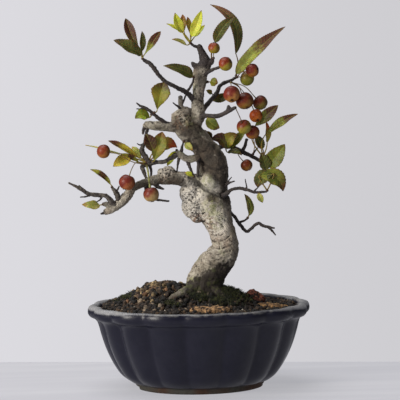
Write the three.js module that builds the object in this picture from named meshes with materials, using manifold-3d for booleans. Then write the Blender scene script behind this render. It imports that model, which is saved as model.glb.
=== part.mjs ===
// A crabapple bonsai in a lobed oval pot. Millimetres, +Z up.
// The origin lies on the surface that the pot stands on, under the middle of the whole part's box.
// The pot's long axis is X. The tree has a frame of its own, turned a little about the pot's upright
// axis: every place on it is written [right, back, up] as seen from its front, over the pot's centre.
import * as THREE from "three";
import { mergeVertices } from "three/addons/utils/BufferGeometryUtils.js";
import Module from "manifold-3d";

const wasm = await Module();
wasm.setup();
const { Manifold } = wasm;

const RIGHT = new THREE.Vector3(1, 0, 0);
const BACK = new THREE.Vector3(0, 1, 0);
const UP = new THREE.Vector3(0, 0, 1);

// ---- Driving dimensions ----

const POT_DEPTH_RATIO = 0.775; // the oval's depth over its width
const POT_LOBES = 16;
const STEPS_PER_LOBE = 3; // the first and last lie in the creases
const FIT_GAP = 0.3; // clearance between pieces that touch
const TREE_TURN = THREE.MathUtils.degToRad(-4);

// The pot's wall from the middle of its underside, up the outside, over the lip and down the inside:
// [half width, height, how deep the creases between the lobes are cut]
const POT_PROFILE = [
  [49.5, 4, 0], [50.5, 0, 0], [57.5, 0, 0], [58.5, 5.4, 0],
  [62.5, 5.6, 0.03], [72, 13, 0.045], [84.5, 36, 0.05], [92, 62, 0.05],
  [98.4, 64.8, 0.042], [100.4, 69.5, 0.04], [99, 74.4, 0.04], [94.4, 75.5, 0.04],
  [91.4, 72, 0.04], [86, 57, 0.04], [73.5, 27, 0.04], [56, 10, 0.04],
];
const POT_UNDERSIDE = 4; // the floor's underside, inside the foot ring
const POT_FLOOR = 10;
const FIRST_INNER_RING = 12; // index in POT_PROFILE of the ring that the soil starts from
const FOOT_ARCH = { width: 26, height: 2.6, reach: 30, offset: 55 }; // gaps under the foot's two ends

const DRAIN = { offset: 28, radius: 7 };
const SCREEN = { size: 24, thickness: 1.2, cell: 8, pitch: 10.4 };
const CLIP = { wire: 0.6, legs: 5, hook: 6, aside: 2.6 };

// The mound of soil: a level at the pot's wall, and rises [right, back, height, spread left, right, back]
const SOIL_EDGE = 72.3;
const SOIL_RISES = [
  [-37, 4, 17, 27, 19, 30],
  [2, 0, 12.5, 21, 20, 24],
  [30, -2, 8.5, 13, 15, 20],
];
const SOIL_HALF_WIDTH = 91;
const SOIL_RIGHT_DIP = 2.6;
const SOIL_LUMPS = 0.7;

const LEAF_TOLERANCE = 0.1; // how far a merged face may lie off the faces it stands for
const WOOD_TOLERANCE = 0.2;
const POT_TOLERANCE = 0.02;
const LEAF_THICKNESS = 0.7;
const LEAF_TOOTH = 0.08; // how far a tooth stands out, over the leaf's half width
const LUMPS = { thick: 0.07, thin: 0.04, scale: 7 }; // the wood's unevenness, over its radius
const PETIOLE_RADIUS = 0.6;
const STALK_RADIUS = 0.62;
const BUD_RADIUS = 1.3;

// ---- Colours ----

const finish = (color, roughness, metalness = 0) =>
  new THREE.MeshStandardMaterial({ color, roughness, metalness });
const GLAZE = finish("#23232f", 0.35);
const SOIL_BROWN = finish("#4a3524", 0.95);
const BARK = finish("#8f897e", 0.9);
const SCREEN_BLACK = finish("#1d1d1d", 0.7);
const WIRE = finish("#a8a49b", 0.4, 0.9);
const CHIP_TAN = finish("#a88a5e", 0.9);
const CHIP_RED = finish("#7a4a35", 0.9);
const STONE = finish("#cfcac0", 0.8);
const STALK_GREEN = finish("#8d8a4a", 0.7);
const FRUIT_RED = finish("#a8482c", 0.35);
const LEAF_GREEN = finish("#66702f", 0.6);
const LEAF_YOUNG = finish("#a9b84a", 0.6);
const LEAF_OCHRE = finish("#a08a3e", 0.6);
const LEAF_BROWN = finish("#6d5234", 0.65);

// ---- The wood's routes: [right, back, up, radius], the thick end first ----

const LIMBS = {
  trunk: [
    [3.5, 0, 62.5, 9.9], [3.5, 0, 76, 15.3], [4, 0, 87.5, 16.6], [6.5, 0, 96.5, 16],
    [11, -2, 105, 15.3], [18.5, -4, 115, 14], [24, -4, 123, 12.2], [24, -3, 132.5, 11.7],
    [20.5, -1, 143, 12.2], [16.5, 1, 154, 14.4], [11, 3, 164.5, 17.1], [9.5, 4, 175.5, 16.6],
    [13.5, 4, 186, 14.4], [15, 3, 197, 13], [12.5, 2, 207, 11.7], [5.5, 1, 217, 10.3],
    [-1.5, 0, 225.5, 10.3], [-8.5, 0, 232.5, 10.8], [-12, 0, 240, 9.4],
  ],
  leader: [
    [-7.5, 2, 233.5, 8.1], [0.5, 1, 242.5, 6.8], [1.5, 2, 258.5, 5.2], [3, 3, 272, 5.6],
    [4.5, 3, 283, 6.8], [8.5, 2, 292, 5.6], [6.5, 1, 299, 3.6], [3, 0, 307, 2.3],
  ],
  rise: [
    [1.5, 2, 255, 2.7], [-5, 0, 262.5, 2], [-9, -3, 265.5, 1.7], [-19, -7, 271, 1.5],
    [-27, -9, 275, 1.4], [-33, -11, 281.5, 1.4], [-40, -13, 291, 1.6], [-46.5, -14, 295, 1.2],
  ],
  rise_side: [[-9, -3, 265.5, 1.4], [-5.5, -5, 269.5, 1.1], [-2.5, -7, 275, 0.9], [-2, -8, 279.5, 0.8]],
  stub: [[-13, -1, 248, 2.9], [-14, -3, 255.5, 2.2], [-14, -4, 262, 2]],
  thorn_knob: [[-13.5, -3, 251, 1.6], [-17, -5, 253.5, 0.9], [-21, -6, 256.5, 0.5]],
  feeler: [
    [-19.5, -3, 234.5, 2.7], [-23.5, -6, 236.5, 2], [-31.5, -10, 241.5, 1.7],
    [-39, -13, 247.5, 1.5], [-45, -15, 252.5, 1.3], [-50, -16, 254.5, 1], [-53, -17, 257, 0.6],
  ],
  stump: [
    [-15, -1, 234.5, 5.4], [-25.5, -5, 235, 4.5], [-32.5, -8, 236, 4.3], [-39, -10, 236, 4.3],
    [-44, -11, 237, 3.6], [-46.5, -11, 234.5, 2.2], [-48, -11, 231.5, 1.3],
  ],
  drop: [
    [-43.5, -11, 235.5, 1.6], [-45, -12, 229, 1.1], [-46.5, -14, 222, 1], [-49, -15, 214.5, 2],
    [-46, -16, 209, 2], [-43.5, -16, 203.5, 2.7],
  ],
  bridge: [
    [6.5, 0, 212.5, 4.5], [0.5, -5, 208, 3.6], [-5.5, -8, 206, 3.3], [-11.5, -10, 207.5, 3.2],
    [-16.5, -11, 211, 3.6], [-20, -12, 209, 1.8], [-24.5, -13, 207, 1.4], [-29, -14, 204.5, 1.4],
    [-35.5, -15, 204, 1.4], [-43.5, -16, 203.5, 2.3],
  ],
  bridge_up: [[-14, -11, 212.5, 1.6], [-13, -11, 217.5, 1.1], [-12, -11, 221.5, 0.7]],
  bridge_down: [[-15.5, -11, 209, 1.6], [-17, -12, 202, 1], [-18, -13, 195.5, 0.7]],
  bridge_low: [[-9, -9, 206, 1.8], [-5.5, -10, 196, 1.2], [-3, -10, 190.5, 1]],
  bridge_root: [[2, -5, 208.5, 2.2], [1, -9, 199.5, 1.5], [0.5, -10, 191, 1.4]],
  spray_low: [
    [-43.5, -16, 202.5, 1.6], [-48.5, -17, 201, 1.5], [-47, -18, 194.5, 1.2],
    [-45.5, -18, 190, 0.7],
  ],
  spray_drop: [[-42.5, -16, 202.5, 1.6], [-41, -15, 196, 1.1], [-42, -17, 186.5, 0.8]],
  limb: [
    [6, 0, 183, 8.1], [-6.5, -6, 186.5, 7.2], [-17, -11, 189, 6.3], [-26, -14, 189.5, 5.7],
    [-33, -16, 189, 5], [-40.5, -18, 187.5, 4.2], [-46, -19, 186.5, 3.6], [-51, -20, 184.5, 3.4],
    [-57.5, -21, 181, 3.7], [-62, -22, 175, 4.1], [-68, -23, 169.5, 4.5], [-74, -24, 165.5, 4],
    [-79.5, -25, 162, 3.3], [-82.5, -25, 160.5, 2.3],
  ],
  limb_tip: [[-82, -25, 160.5, 1.6], [-84, -25.5, 160, 1.2], [-86, -26, 159.5, 0.7]],
  limb_nub: [
    [-37.5, -19, 186.5, 3.1], [-36, -20, 183, 2.3], [-33, -21, 181.5, 1.4],
    [-29.5, -21.5, 180.5, 0.6],
  ],
  limb_hook: [
    [-44, -20, 185, 2], [-45.5, -17, 180.5, 2], [-42.5, -11, 172.5, 1.4], [-35.5, -10, 170, 1.1],
    [-25.5, -11, 169, 0.8],
  ],
  limb_stub: [[-64.5, -22, 173, 3.1], [-65, -23, 177, 2.6]],
  limb_spur: [
    [-69.5, -24, 171.5, 2.2], [-71.5, -25, 177, 1.8], [-73.5, -26, 180, 1.4],
    [-75, -26, 182.5, 0.9],
  ],
  antler: [
    [-74, -25, 167, 2.3], [-77.5, -27, 172, 1.8], [-81, -28, 175.5, 1.4], [-88, -29, 176.5, 1.4],
    [-96.5, -31, 178, 1.3], [-103, -33, 182.5, 1.1], [-113, -35, 188, 0.6],
  ],
  antler_mid: [[-95.5, -31, 177.5, 1.1], [-99.5, -30, 181, 0.8], [-104.5, -29, 185.5, 0.5]],
  antler_low: [[-93, -30, 177, 1.1], [-98, -31, 175.5, 0.8], [-103.5, -32, 175, 0.5]],
  limb_mass: [[-76, -25, 165.5, 2.9], [-81, -26, 168, 2.5], [-84, -27, 168, 1.6]],
  east: [
    [22, -4, 172, 3.2], [26, -9, 174.5, 2], [30, -12, 178, 1.5], [37, -14, 179.5, 1.4],
    [44, -15, 178.5, 1.4], [49, -16, 176.5, 1.3], [56, -16, 176, 1.1], [61.5, -16, 176.5, 0.9],
  ],
  east_up: [[44, -15, 178, 0.9], [43.5, -16, 183, 0.6], [42.5, -17, 188, 0.4]],
  east_side: [[50, -16, 176.5, 0.9], [53, -15, 179.5, 0.6], [56, -14, 182.5, 0.4]],
  east_thorn: [[24, -3, 181, 2], [28, -6, 184, 1.1], [33.5, -8, 185.5, 0.5]],
  south: [
    [20, 2, 166.5, 3.2], [27.5, 4, 163.5, 1.9], [29.5, 5, 157, 1.6], [33.5, 6, 152, 1.5],
    [37.5, 6, 146.5, 1.5], [41, 6, 141.5, 1.5], [44.5, 5.5, 139, 1.4], [47.5, 5, 141, 1.4],
    [51, 4, 144.5, 1.4], [55, 3, 146.5, 1.4], [58, 2.5, 144.5, 1.4], [64, 2, 143, 1.3],
    [69, 1, 142, 0.7],
  ],
  south_fork: [[64, 2, 142.5, 1.2], [67, 3, 139.5, 0.9], [70, 4, 135.5, 0.5]],
  south_up: [[36.5, 6, 147.5, 1.2], [41, 5, 148.5, 1], [45, 4, 151, 0.8]],
  rear: [
    [13.5, 5, 209.5, 3.6], [20, 12, 215, 2.5], [27.5, 15, 216.5, 2.2], [34.5, 17, 214, 2.2],
    [43.5, 19, 209.5, 2.1], [49.5, 21, 206.5, 1.9], [55, 22, 203.5, 1.8], [60, 22, 200, 1.5],
  ],
  rear_up: [[41.5, 19, 211, 1.8], [44, 19, 216.5, 1.5], [45.5, 18.5, 222, 1.3]],
  rear_twig: [[50, 21, 206.5, 1.4], [52.5, 20, 210.5, 0.9], [55.5, 19, 214, 0.6]],
  front: [
    [2.5, -3, 242.5, 3.6], [7, -8, 244.5, 2.3], [14.5, -12, 244, 2.1], [20, -14, 244.5, 2.1],
    [26, -16, 247, 2], [30.5, -18, 249.5, 1.8], [35, -19, 252, 1.4],
  ],
  front_lump: [[27, -16, 247.5, 1.7], [28.5, -17, 251, 2], [28.5, -18, 253.5, 1.1]],
  high: [
    [2.5, 4, 247, 3.6], [7, 7, 250.5, 2.5], [11, 9, 255.5, 2.2], [15.5, 11, 260.5, 2],
    [19.5, 13, 265.5, 1.9], [21.5, 14, 270.5, 1.8], [25.5, 14.5, 273.5, 1.6], [30.5, 15, 275, 1.4],
    [37, 16, 278.5, 1.1],
  ],
  crown_twig: [[6.5, 0, 281, 2.7], [11, -4, 283, 1.6], [15.5, -6, 285.5, 1.4], [20.5, -7, 287.5, 1.2]],
  crown_spur: [[9.5, 1, 291, 3.6], [14, -1, 292, 2.6], [15.5, -2, 294.5, 1.4]],
  crown_stub: [[6.5, 1, 286.5, 3.6], [-0.5, -1, 289, 2.7], [-3.5, -2, 292, 1.1]],
  top_shoot: [[4, 0, 305.5, 2], [1, -1, 306, 1.4], [-1.5, -2, 307, 1.2], [-4.5, -3, 309, 1]],
  root_left: [
    [0, -3, 92.5, 9], [-8, -10, 87, 5.8], [-17, -15, 85, 4.1], [-25, -19, 83.5, 2.9],
    [-32.5, -24, 79, 1.6],
  ],
  root_right: [[8.5, -3, 92.5, 9], [16, -12, 86.5, 5.4], [24, -20, 80, 3.1], [29, -26, 74.5, 1.4]],
  root_back: [[7.5, 4, 92.5, 8.1], [14.5, 14, 87.5, 5.4], [25, 26, 84, 3.2], [36, 36, 77, 1.6]],
  root_rear: [[0, 4, 91.5, 8.1], [-8, 16, 87.5, 5.4], [-16.5, 28, 84, 3.4], [-25, 40, 78, 1.6]],
  back_twig: [
    [13.5, 6, 182.5, 5.4], [14.5, 22, 187.5, 2.5], [15.5, 34, 195, 1.9], [16.5, 44, 202, 1.4],
  ],
  back_twig_fork: [[15.5, 33, 194.5, 1.6], [12, 38, 197, 1.3], [9, 42, 199.5, 0.9]],
  back_high: [[2.5, 2, 257, 4.5], [2.5, 16, 264, 2.1], [3.5, 26, 270, 1.6], [4, 34, 276.5, 1.1]],
  rear_spur: [[57, 22, 201.5, 2], [59, 21, 203.5, 1.4], [60, 20.5, 205.5, 1]],
  leader_spur: [[6.5, 3, 274.5, 2.7], [10, 3, 274.5, 1.2]],
};

// Swellings on the wood: [centre, radii]
const SWELLINGS = [
  [[-3.5, -3, 163.5], [11.2, 10.8, 11.7]],
  [[-7, -3, 175], [9.3, 9, 9.9]],
  [[-0.5, -3, 153.5], [6.3, 7.2, 5.8]],
  [[21.5, 2, 165.5], [8.4, 9.9, 9.9]],
  [[-13, 0, 241], [9.9, 9.9, 9.9]],
  [[-9.5, -1, 249], [5, 4.5, 4]],
  [[-18.5, -2, 243.5], [4.5, 4.5, 4.5]],
  [[-26, -13, 195.5], [7.2, 5.4, 4.5]],
  [[-32, -15, 195.5], [3.6, 3.6, 3.2]],
];

// ---- Leaves, a spray to a spur: [base, tip, width, roll, fold, bow, sway] ----
// Roll turns the upper face away from the front about the midrib, in degrees, and fold lifts the two
// halves. Bow and sway are how far the midrib's middle stands off the straight line, out of the face
// and across it.

const SPRAYS = {
  rise: { seat: [-47, -14.5, 296], leaves: [
    [[-50, -15, 302], [-71.5, -20, 313], 12.5, 35, 30, 2, 0],
    [[-49, -14, 303.5], [-60.5, -11, 332], 12.5, 5, 25, -2, -1],
    [[-46, -17, 303], [-32, -23, 320.5], 11.5, -25, 30, 2, 0],
    [[-47.5, -12, 302.5], [-47, -6, 320.5], 6.5, 20, 25, 1, 0],
  ] },
  crown: { seat: [-4.5, -3.5, 309.5], leaves: [
    [[-11, -5, 318.5], [-17.5, -8, 336], 9, 10, 20, 0, -1],
    [[-10, -2, 320], [-11, 1, 335], 6.5, 0, 25, 0, 0],
    [[-3.5, -4, 315], [5.5, -6, 338], 10, -10, 20, 1, 1],
    [[-4.5, 0, 318], [-6.5, 5, 333], 5.5, 10, 25, 0, 0],
    [[-12.5, -6.5, 319.5], [-25, -9, 327], 4.5, 40, 30, 0, 0],
    [[-0.5, -1, 315], [8.5, 3, 325.5], 5.5, -20, 25, 0, 0],
    [[-8, -5.5, 307.5], [-20.5, -9, 313], 4.5, 30, 30, 0, 1],
  ] },
  top: { seat: [14.5, 0.5, 295], leaves: [
    [[17.5, 3.5, 309.5], [35, -4, 332.5], 11.5, -15, 25, 2, -1.5],
  ] },
  shoulder: { seat: [36.5, 17, 279.5], leaves: [
    [[36.5, 17, 299.5], [14.5, 8, 343.5], 10.5, 10, 20, 1, 11],
    [[37, 15.5, 283.5], [79.5, 4, 323.5], 11.5, -35, 32, 2, -1.5],
  ] },
  collar: { seat: [-2, -8.5, 279], leaves: [
    [[-4.5, -11.5, 281], [-28, -18, 289.5], 11, 30, 22, 2, 1.5],
  ] },
  cheek: { seat: [-37.5, -14, 248], leaves: [
    [[-34.5, -14, 250.5], [-29, -20, 274.5], 17, -8, 18, 2, 0],
  ] },
  lip: { seat: [-40, -12.5, 246.5], leaves: [
    [[-42, -10.5, 244], [-53.5, -18, 243], 11, 25, 22, 1.5, 2.5],
  ] },
  heart: { seat: [-42.5, -16.5, 205.5], leaves: [
    [[-37, -18, 214.5], [-29.5, -21, 231], 12.5, 0, 20, 1, 0.5],
    [[-36, -15.5, 215.5], [-18.5, -12, 217], 10, -20, 22, 1, -4.5],
    [[-38, -20, 215], [-43.5, -24, 228.5], 8, 15, 22, 1, 0],
  ] },
  veil: { seat: [-18, -8, 214], leaves: [
    [[-19, -5, 213], [-27, -3, 200], 7, 15, 22, 1, 0],
  ] },
  fan: { seat: [-45, -18, 204], leaves: [
    [[-50.5, -19, 207.5], [-77, -25, 224.5], 7, 40, 52, 1, 0],
    [[-52, -21, 205], [-66, -28, 213], 4.5, 40, 48, 0, 0],
    [[-58.5, -14, 208.5], [-74, -17, 203], 9, 20, 20, 1, 1],
    [[-50, -13, 208.5], [-58, -8, 218], 7, 10, 20, 1, 0],
    [[-68.5, -17.5, 212.5], [-98.5, -16, 221.5], 3, 62, 22, 0, -1.5],
  ] },
  horn: { seat: [-75.5, -26, 183], leaves: [
    [[-76.5, -27, 185.5], [-93, -32, 199.5], 5.5, 35, 45, 1, 1.5],
  ] },
  tongue: { seat: [-83.5, -27, 168], leaves: [
    [[-86.5, -27.5, 167.5], [-101.5, -34, 169], 7, 30, 28, 1, -1],
  ] },
  wing: { seat: [60, 20, 206], leaves: [
    [[59.5, 15, 229.5], [73.5, 7, 251], 12.5, -12, 16, 1, 0],
    [[60, 19.5, 213], [53.5, 18, 225], 8, 15, 20, 1, 0],
    [[67, 12, 230], [90, 8, 244], 7, -42, 26, 1, -0.5],
    [[64, 17, 219], [63.5, 14, 238], 7, 30, 30, 1, 0],
  ] },
  apron: { seat: [26.5, 12, 215], leaves: [
    [[25.5, 8, 215.5], [14, 3, 222.5], 10, 30, 28, 1, 4],
    [[27, 9.5, 216], [36, 5, 225.5], 11, -20, 24, 1, -3],
    [[28.5, 12, 214], [44, 10, 230], 7, -20, 24, 1, 0],
    [[28, 10, 210.5], [40.5, 6, 208.5], 7, -35, 26, 1, -1.5],
  ] },
  plate: { seat: [61, 21, 199], leaves: [
    [[63.5, 20, 197.5], [79, 14, 216], 15.5, -12, 18, 2, 1],
    [[63, 22.5, 194], [66, 19, 207.5], 9, 20, 20, 1, 0],
  ] },
  arch: { seat: [62, -16.5, 177.5], leaves: [
    [[64, -18.5, 189.5], [75.5, -15, 178], 12, -10, 22, 1.5, -5.5],
    [[63, -19, 190], [55, -15, 182], 9.5, 25, 22, 1, 3],
  ] },
  drip: { seat: [54.5, -16, 175.5], leaves: [
    [[54.5, -17, 174], [57.5, -14.5, 168], 7, 0, 20, 0.5, 0],
  ] },
  sickle: { seat: [45, 4, 151.5], leaves: [
    [[46, 3.5, 154.5], [42.5, 0, 171], 5.5, -30, 32, 1, 4],
  ] },
  ear: { seat: [11, -10.5, 243], leaves: [
    [[10.5, -12.5, 241.5], [20, -11, 235], 9.5, -10, 20, 1, 1.5],
  ] },
  nape: { seat: [15.5, 12.5, 259.5], leaves: [
    [[16, 14.5, 257], [30.5, 21, 262], 9, -15, 20, 1, 0],
    [[14.5, 13, 264], [9.5, 10, 267], 5, 20, 22, 0, 0],
  ] },
  chin: { seat: [10.5, 3, 274.5], leaves: [
    [[12.5, 2.5, 274.5], [19.5, -1, 273.5], 9, -15, 20, 0.5, 0],
  ] },
  tuft: { seat: [-11.5, -11, 222], leaves: [
    [[-10.5, -11.5, 220.5], [-4, -14, 214], 7, -10, 20, 0.5, 0],
  ] },
  fleck: { seat: [-3, -10, 190], leaves: [
    [[-4.5, -11.5, 191.5], [-11, -13.5, 194.5], 5, 25, 22, 0.5, 0],
  ] },
  shade: { seat: [6, 6, 230.5], leaves: [
    [[9, 9, 230], [13, 12, 222], 7, -10, 20, 0.5, 0],
  ] },
  back_low: { seat: [16.5, 44.5, 202.5], leaves: [
    [[19, 48, 204.5], [24.5, 74, 207], 11.5, -60, 24, 3, 0],
    [[14.5, 48, 204], [7.5, 72, 204.5], 11.5, 50, 24, 3, 0],
    [[16.5, 49, 200], [17.5, 78, 188], 11, 10, 24, 3, 0],
  ] },
  back_side: { seat: [9, 42.5, 199.5], leaves: [
    [[8.5, 45, 200.5], [9, 70, 194], 10, 60, 24, 3, 0],
  ] },
  back_high: { seat: [4, 34.5, 277], leaves: [
    [[5, 38, 279], [8.5, 64, 287.5], 11, -60, 24, 3, 0],
    [[2.5, 38, 276.5], [1, 66, 269], 11, 50, 24, 3, 0],
  ] },
};
const SPRAY_FINISH = {
  crown: LEAF_YOUNG, collar: LEAF_GREEN, fan: LEAF_OCHRE, shoulder: LEAF_BROWN, heart: LEAF_OCHRE,
  rise: LEAF_BROWN, veil: LEAF_YOUNG, horn: LEAF_OCHRE,
};

// ---- Fruit: the middle, the width and the stalk's route from its spur ----

const CRABAPPLES = [
  { centre: [16.5, -3, 304.5], width: 10.6, stalk: [[16, -2.5, 295.5], [16, -2.5, 297]] },
  { centre: [26.5, -10, 291], width: 11.7, stalk: [[21, -7, 287.5], [21.5, -7.5, 288]] },
  { centre: [51, 8, 285], width: 11.5, stalk: [[37.5, 15, 278.5], [41, 12.5, 282.5]] },
  { centre: [47, 18, 276.5], width: 12.2, stalk: [[37.5, 15, 278.5], [39.5, 16.5, 278.5]] },
  { centre: [32, 1, 263.5], width: 14.7, stalk: [[31.5, 14, 274], [31.5, 9, 273.5]] },
  { centre: [44, 9, 257.5], width: 14, stalk: [[31.5, 14, 274], [38, 13.5, 271]] },
  { centre: [59, 16, 256.5], width: 11.9, stalk: [[31.5, 14, 274], [44.5, 18, 269.5]] },
  { centre: [54, 13, 244], width: 11, stalk: [[31.5, 14, 274], [40, 22, 268.5], [49, 21, 256]] },
  { centre: [42.5, -3, 234], width: 12.6, stalk: [[34.5, -18, 251.5], [37, -12, 246.5]] },
  { centre: [50.5, 9, 228.5], width: 11.3, stalk: [[51, 19.5, 208], [52.5, 17, 215.5]] },
  { centre: [45, 15, 198.5], width: 11, stalk: [[35.5, 15, 212.5], [38.5, 14.5, 206.5]] },
  {
    centre: [-82.5, -27, 215], width: 11.5,
    stalk: [[-45, -18, 202], [-57.5, -27.5, 205.5], [-69.5, -29.5, 212.5]],
  },
  {
    centre: [-62, -32, 187.5], width: 13.8,
    stalk: [[-45, -18, 202], [-54, -27, 204.5], [-57.5, -31, 199.5]],
  },
  {
    centre: [-41, -27.5, 176.5], width: 13.5,
    stalk: [[-45, -18, 202], [-43.5, -24, 196], [-42.5, -27, 187]],
  },
];
// Fruits that share one spur, by their place in the list above
const BUNCHES = [[0], [1], [2, 3], [4, 5, 6, 7], [8], [9], [10], [11, 12, 13]];

// Loose pieces on the soil: [name, right, back, length, width, thickness, turn, sides, finish]
const TOP_DRESSING = [
  ["bark_chip_1", 9, -50, 35, 13, 4.2, 4, 9, CHIP_TAN],
  ["bark_chip_2", 66, -14, 29, 14, 4.4, -6, 8, CHIP_TAN],
  ["bark_chip_3", 51, 9, 19, 13, 5, 20, 7, CHIP_RED],
  ["pebble_1", -70, -30, 5, 4.4, 3.4, 10, 6, STONE],
];

// ---- Solids ----

function toSolid(geometry) {
  const bare = new THREE.BufferGeometry();
  bare.setAttribute("position", geometry.getAttribute("position"));
  if (geometry.index) bare.setIndex(geometry.index);
  const merged = mergeVertices(bare, 1e-4);
  const mesh = new wasm.Mesh({
    numProp: 3,
    vertProperties: new Float32Array(merged.attributes.position.array),
    triVerts: new Uint32Array(merged.index.array),
  });
  return new Manifold(mesh);
}

function toGeometry(solid) {
  const mesh = solid.getMesh();
  const places = new Float32Array(mesh.numVert * 3);
  for (let i = 0; i < mesh.numVert; i++) {
    const start = i * mesh.numProp;
    places.set(mesh.vertProperties.subarray(start, start + 3), i * 3);
  }
  const geometry = new THREE.BufferGeometry();
  geometry.setAttribute("position", new THREE.BufferAttribute(places, 3));
  geometry.setIndex(new THREE.BufferAttribute(new Uint32Array(mesh.triVerts), 1));
  geometry.computeVertexNormals();
  return geometry;
}

// The largest body of a cut solid, with the faces that hardly shape it merged.
function mainBody(solid, tolerance = LEAF_TOLERANCE) {
  const bodies = solid.asOriginal().simplify(tolerance).decompose();
  return bodies.reduce((best, body) => (body.volume() > best.volume() ? body : best));
}

// A closed surface from rings of equal length. An end is closed by a fan round its own middle point.
function ringSolid(rings, startMiddle, endMiddle) {
  const around = rings[0].length;
  const places = [];
  const faces = [];
  rings.flat().forEach((p) => places.push(p.x, p.y, p.z));
  for (let r = 0; r + 1 < rings.length; r++) {
    for (let k = 0; k < around; k++) {
      const a = r * around + k;
      const b = r * around + ((k + 1) % around);
      faces.push(a, b, b + around, a, b + around, a + around);
    }
  }
  const startIndex = places.length / 3;
  places.push(startMiddle.x, startMiddle.y, startMiddle.z, endMiddle.x, endMiddle.y, endMiddle.z);
  const last = (rings.length - 1) * around;
  for (let k = 0; k < around; k++) {
    const next = (k + 1) % around;
    faces.push(startIndex, next, k, startIndex + 1, last + k, last + next);
  }
  const geometry = new THREE.BufferGeometry();
  geometry.setAttribute("position", new THREE.Float32BufferAttribute(places, 3));
  geometry.setIndex(faces);
  const solid = toSolid(geometry);
  if (solid.volume() < 0) throw new Error("a ring solid is inside out");
  return solid;
}

// Smooth unevenness from -1 to 1, the same at the same place each time.
function unevenness(p, scale) {
  const x = p.x / scale;
  const y = p.y / scale;
  const z = p.z / scale;
  const waves = Math.sin(1.7 * x + 2.3 * y + 0.4) + Math.sin(2.9 * z - 1.3 * x + 1.1);
  return (waves + Math.sin(2.1 * y + 1.9 * z)) / 3;
}

// ---- Wood ----

// A tapering round limb along its route. grow makes it fatter, for the clearance cut round it.
function limbSolid(route, sides, lumps, grow = 0) {
  const middles = route.map(([x, y, z]) => new THREE.Vector3(x, y, z));
  const curve = new THREE.CatmullRomCurve3(middles, false, "centripetal");
  const stations = [];
  for (let i = 0; i + 1 < route.length; i++) {
    const radius = (route[i][3] + route[i + 1][3]) / 2;
    const steps = Math.max(1, Math.round(middles[i].distanceTo(middles[i + 1]) / (6 + 1.8 * radius)));
    for (let k = 0; k < steps; k++) stations.push([i, k / steps]);
  }
  stations.push([route.length - 2, 1]);

  const rings = [];
  const normal = new THREE.Vector3();
  let before = null;
  for (const [i, part] of stations) {
    const t = (i + part) / (route.length - 1);
    const middle = curve.getPoint(t);
    const along = curve.getTangent(t);
    if (!before) normal.crossVectors(along, Math.abs(along.y) > 0.8 ? RIGHT : BACK);
    else normal.applyQuaternion(new THREE.Quaternion().setFromUnitVectors(before, along));
    normal.addScaledVector(along, -normal.dot(along)).normalize();
    before = along;
    const across = new THREE.Vector3().crossVectors(along, normal);
    const radius = THREE.MathUtils.lerp(route[i][3], route[i + 1][3], part);
    const ring = [];
    for (let k = 0; k < sides; k++) {
      const angle = (2 * Math.PI * k) / sides;
      const way = normal.clone().multiplyScalar(Math.cos(angle)).addScaledVector(across, Math.sin(angle));
      const skin = middle.clone().addScaledVector(way, radius);
      const lump = lumps * radius * unevenness(skin, LUMPS.scale);
      ring.push(middle.clone().addScaledVector(way, radius + lump + grow));
    }
    rings.push(ring);
  }
  const startRadius = route[0][3];
  const endRadius = route[route.length - 1][3];
  const start = curve.getPoint(0).addScaledVector(curve.getTangent(0), -0.4 * startRadius - grow);
  const end = curve.getPoint(1).addScaledVector(before, 0.5 * endRadius + grow);
  return ringSolid(rings, start, end);
}

function swellingSolid([[x, y, z], radii], grow = 0) {
  const ball = new THREE.IcosahedronGeometry(1, 1);
  ball.deleteAttribute("normal");
  ball.deleteAttribute("uv");
  const places = ball.getAttribute("position");
  const p = new THREE.Vector3();
  for (let i = 0; i < places.count; i++) {
    p.fromBufferAttribute(places, i);
    const spot = new THREE.Vector3(x + p.x * radii[0], y + p.y * radii[1], z + p.z * radii[2]);
    const lump = 1 + 0.07 * unevenness(spot, 3.2);
    p.set(p.x * (radii[0] * lump + grow), p.y * (radii[1] * lump + grow), p.z * (radii[2] * lump + grow));
    places.setXYZ(i, x + p.x, y + p.y, z + p.z);
  }
  return toSolid(ball);
}

function sidesFor(route) {
  const thickest = Math.max(...route.map((point) => point[3]));
  if (thickest > 9) return 12;
  if (thickest > 5) return 7;
  return thickest > 2.4 ? 5 : 4;
}

function woodSolid(grow = 0) {
  const limbs = Object.values(LIMBS).map((route) => {
    const thick = route[0][3] > 5;
    return limbSolid(route, sidesFor(route), thick ? LUMPS.thick : LUMPS.thin, grow);
  });
  return Manifold.union([...limbs, ...SWELLINGS.map((swelling) => swellingSolid(swelling, grow))]);
}

// ---- Leaves ----

// How wide a leaf is at s along its midrib, as a share of its widest.
const leafOutline = (s) => Math.pow(Math.sin(Math.PI * Math.pow(s, 0.82)), 0.8);

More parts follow.
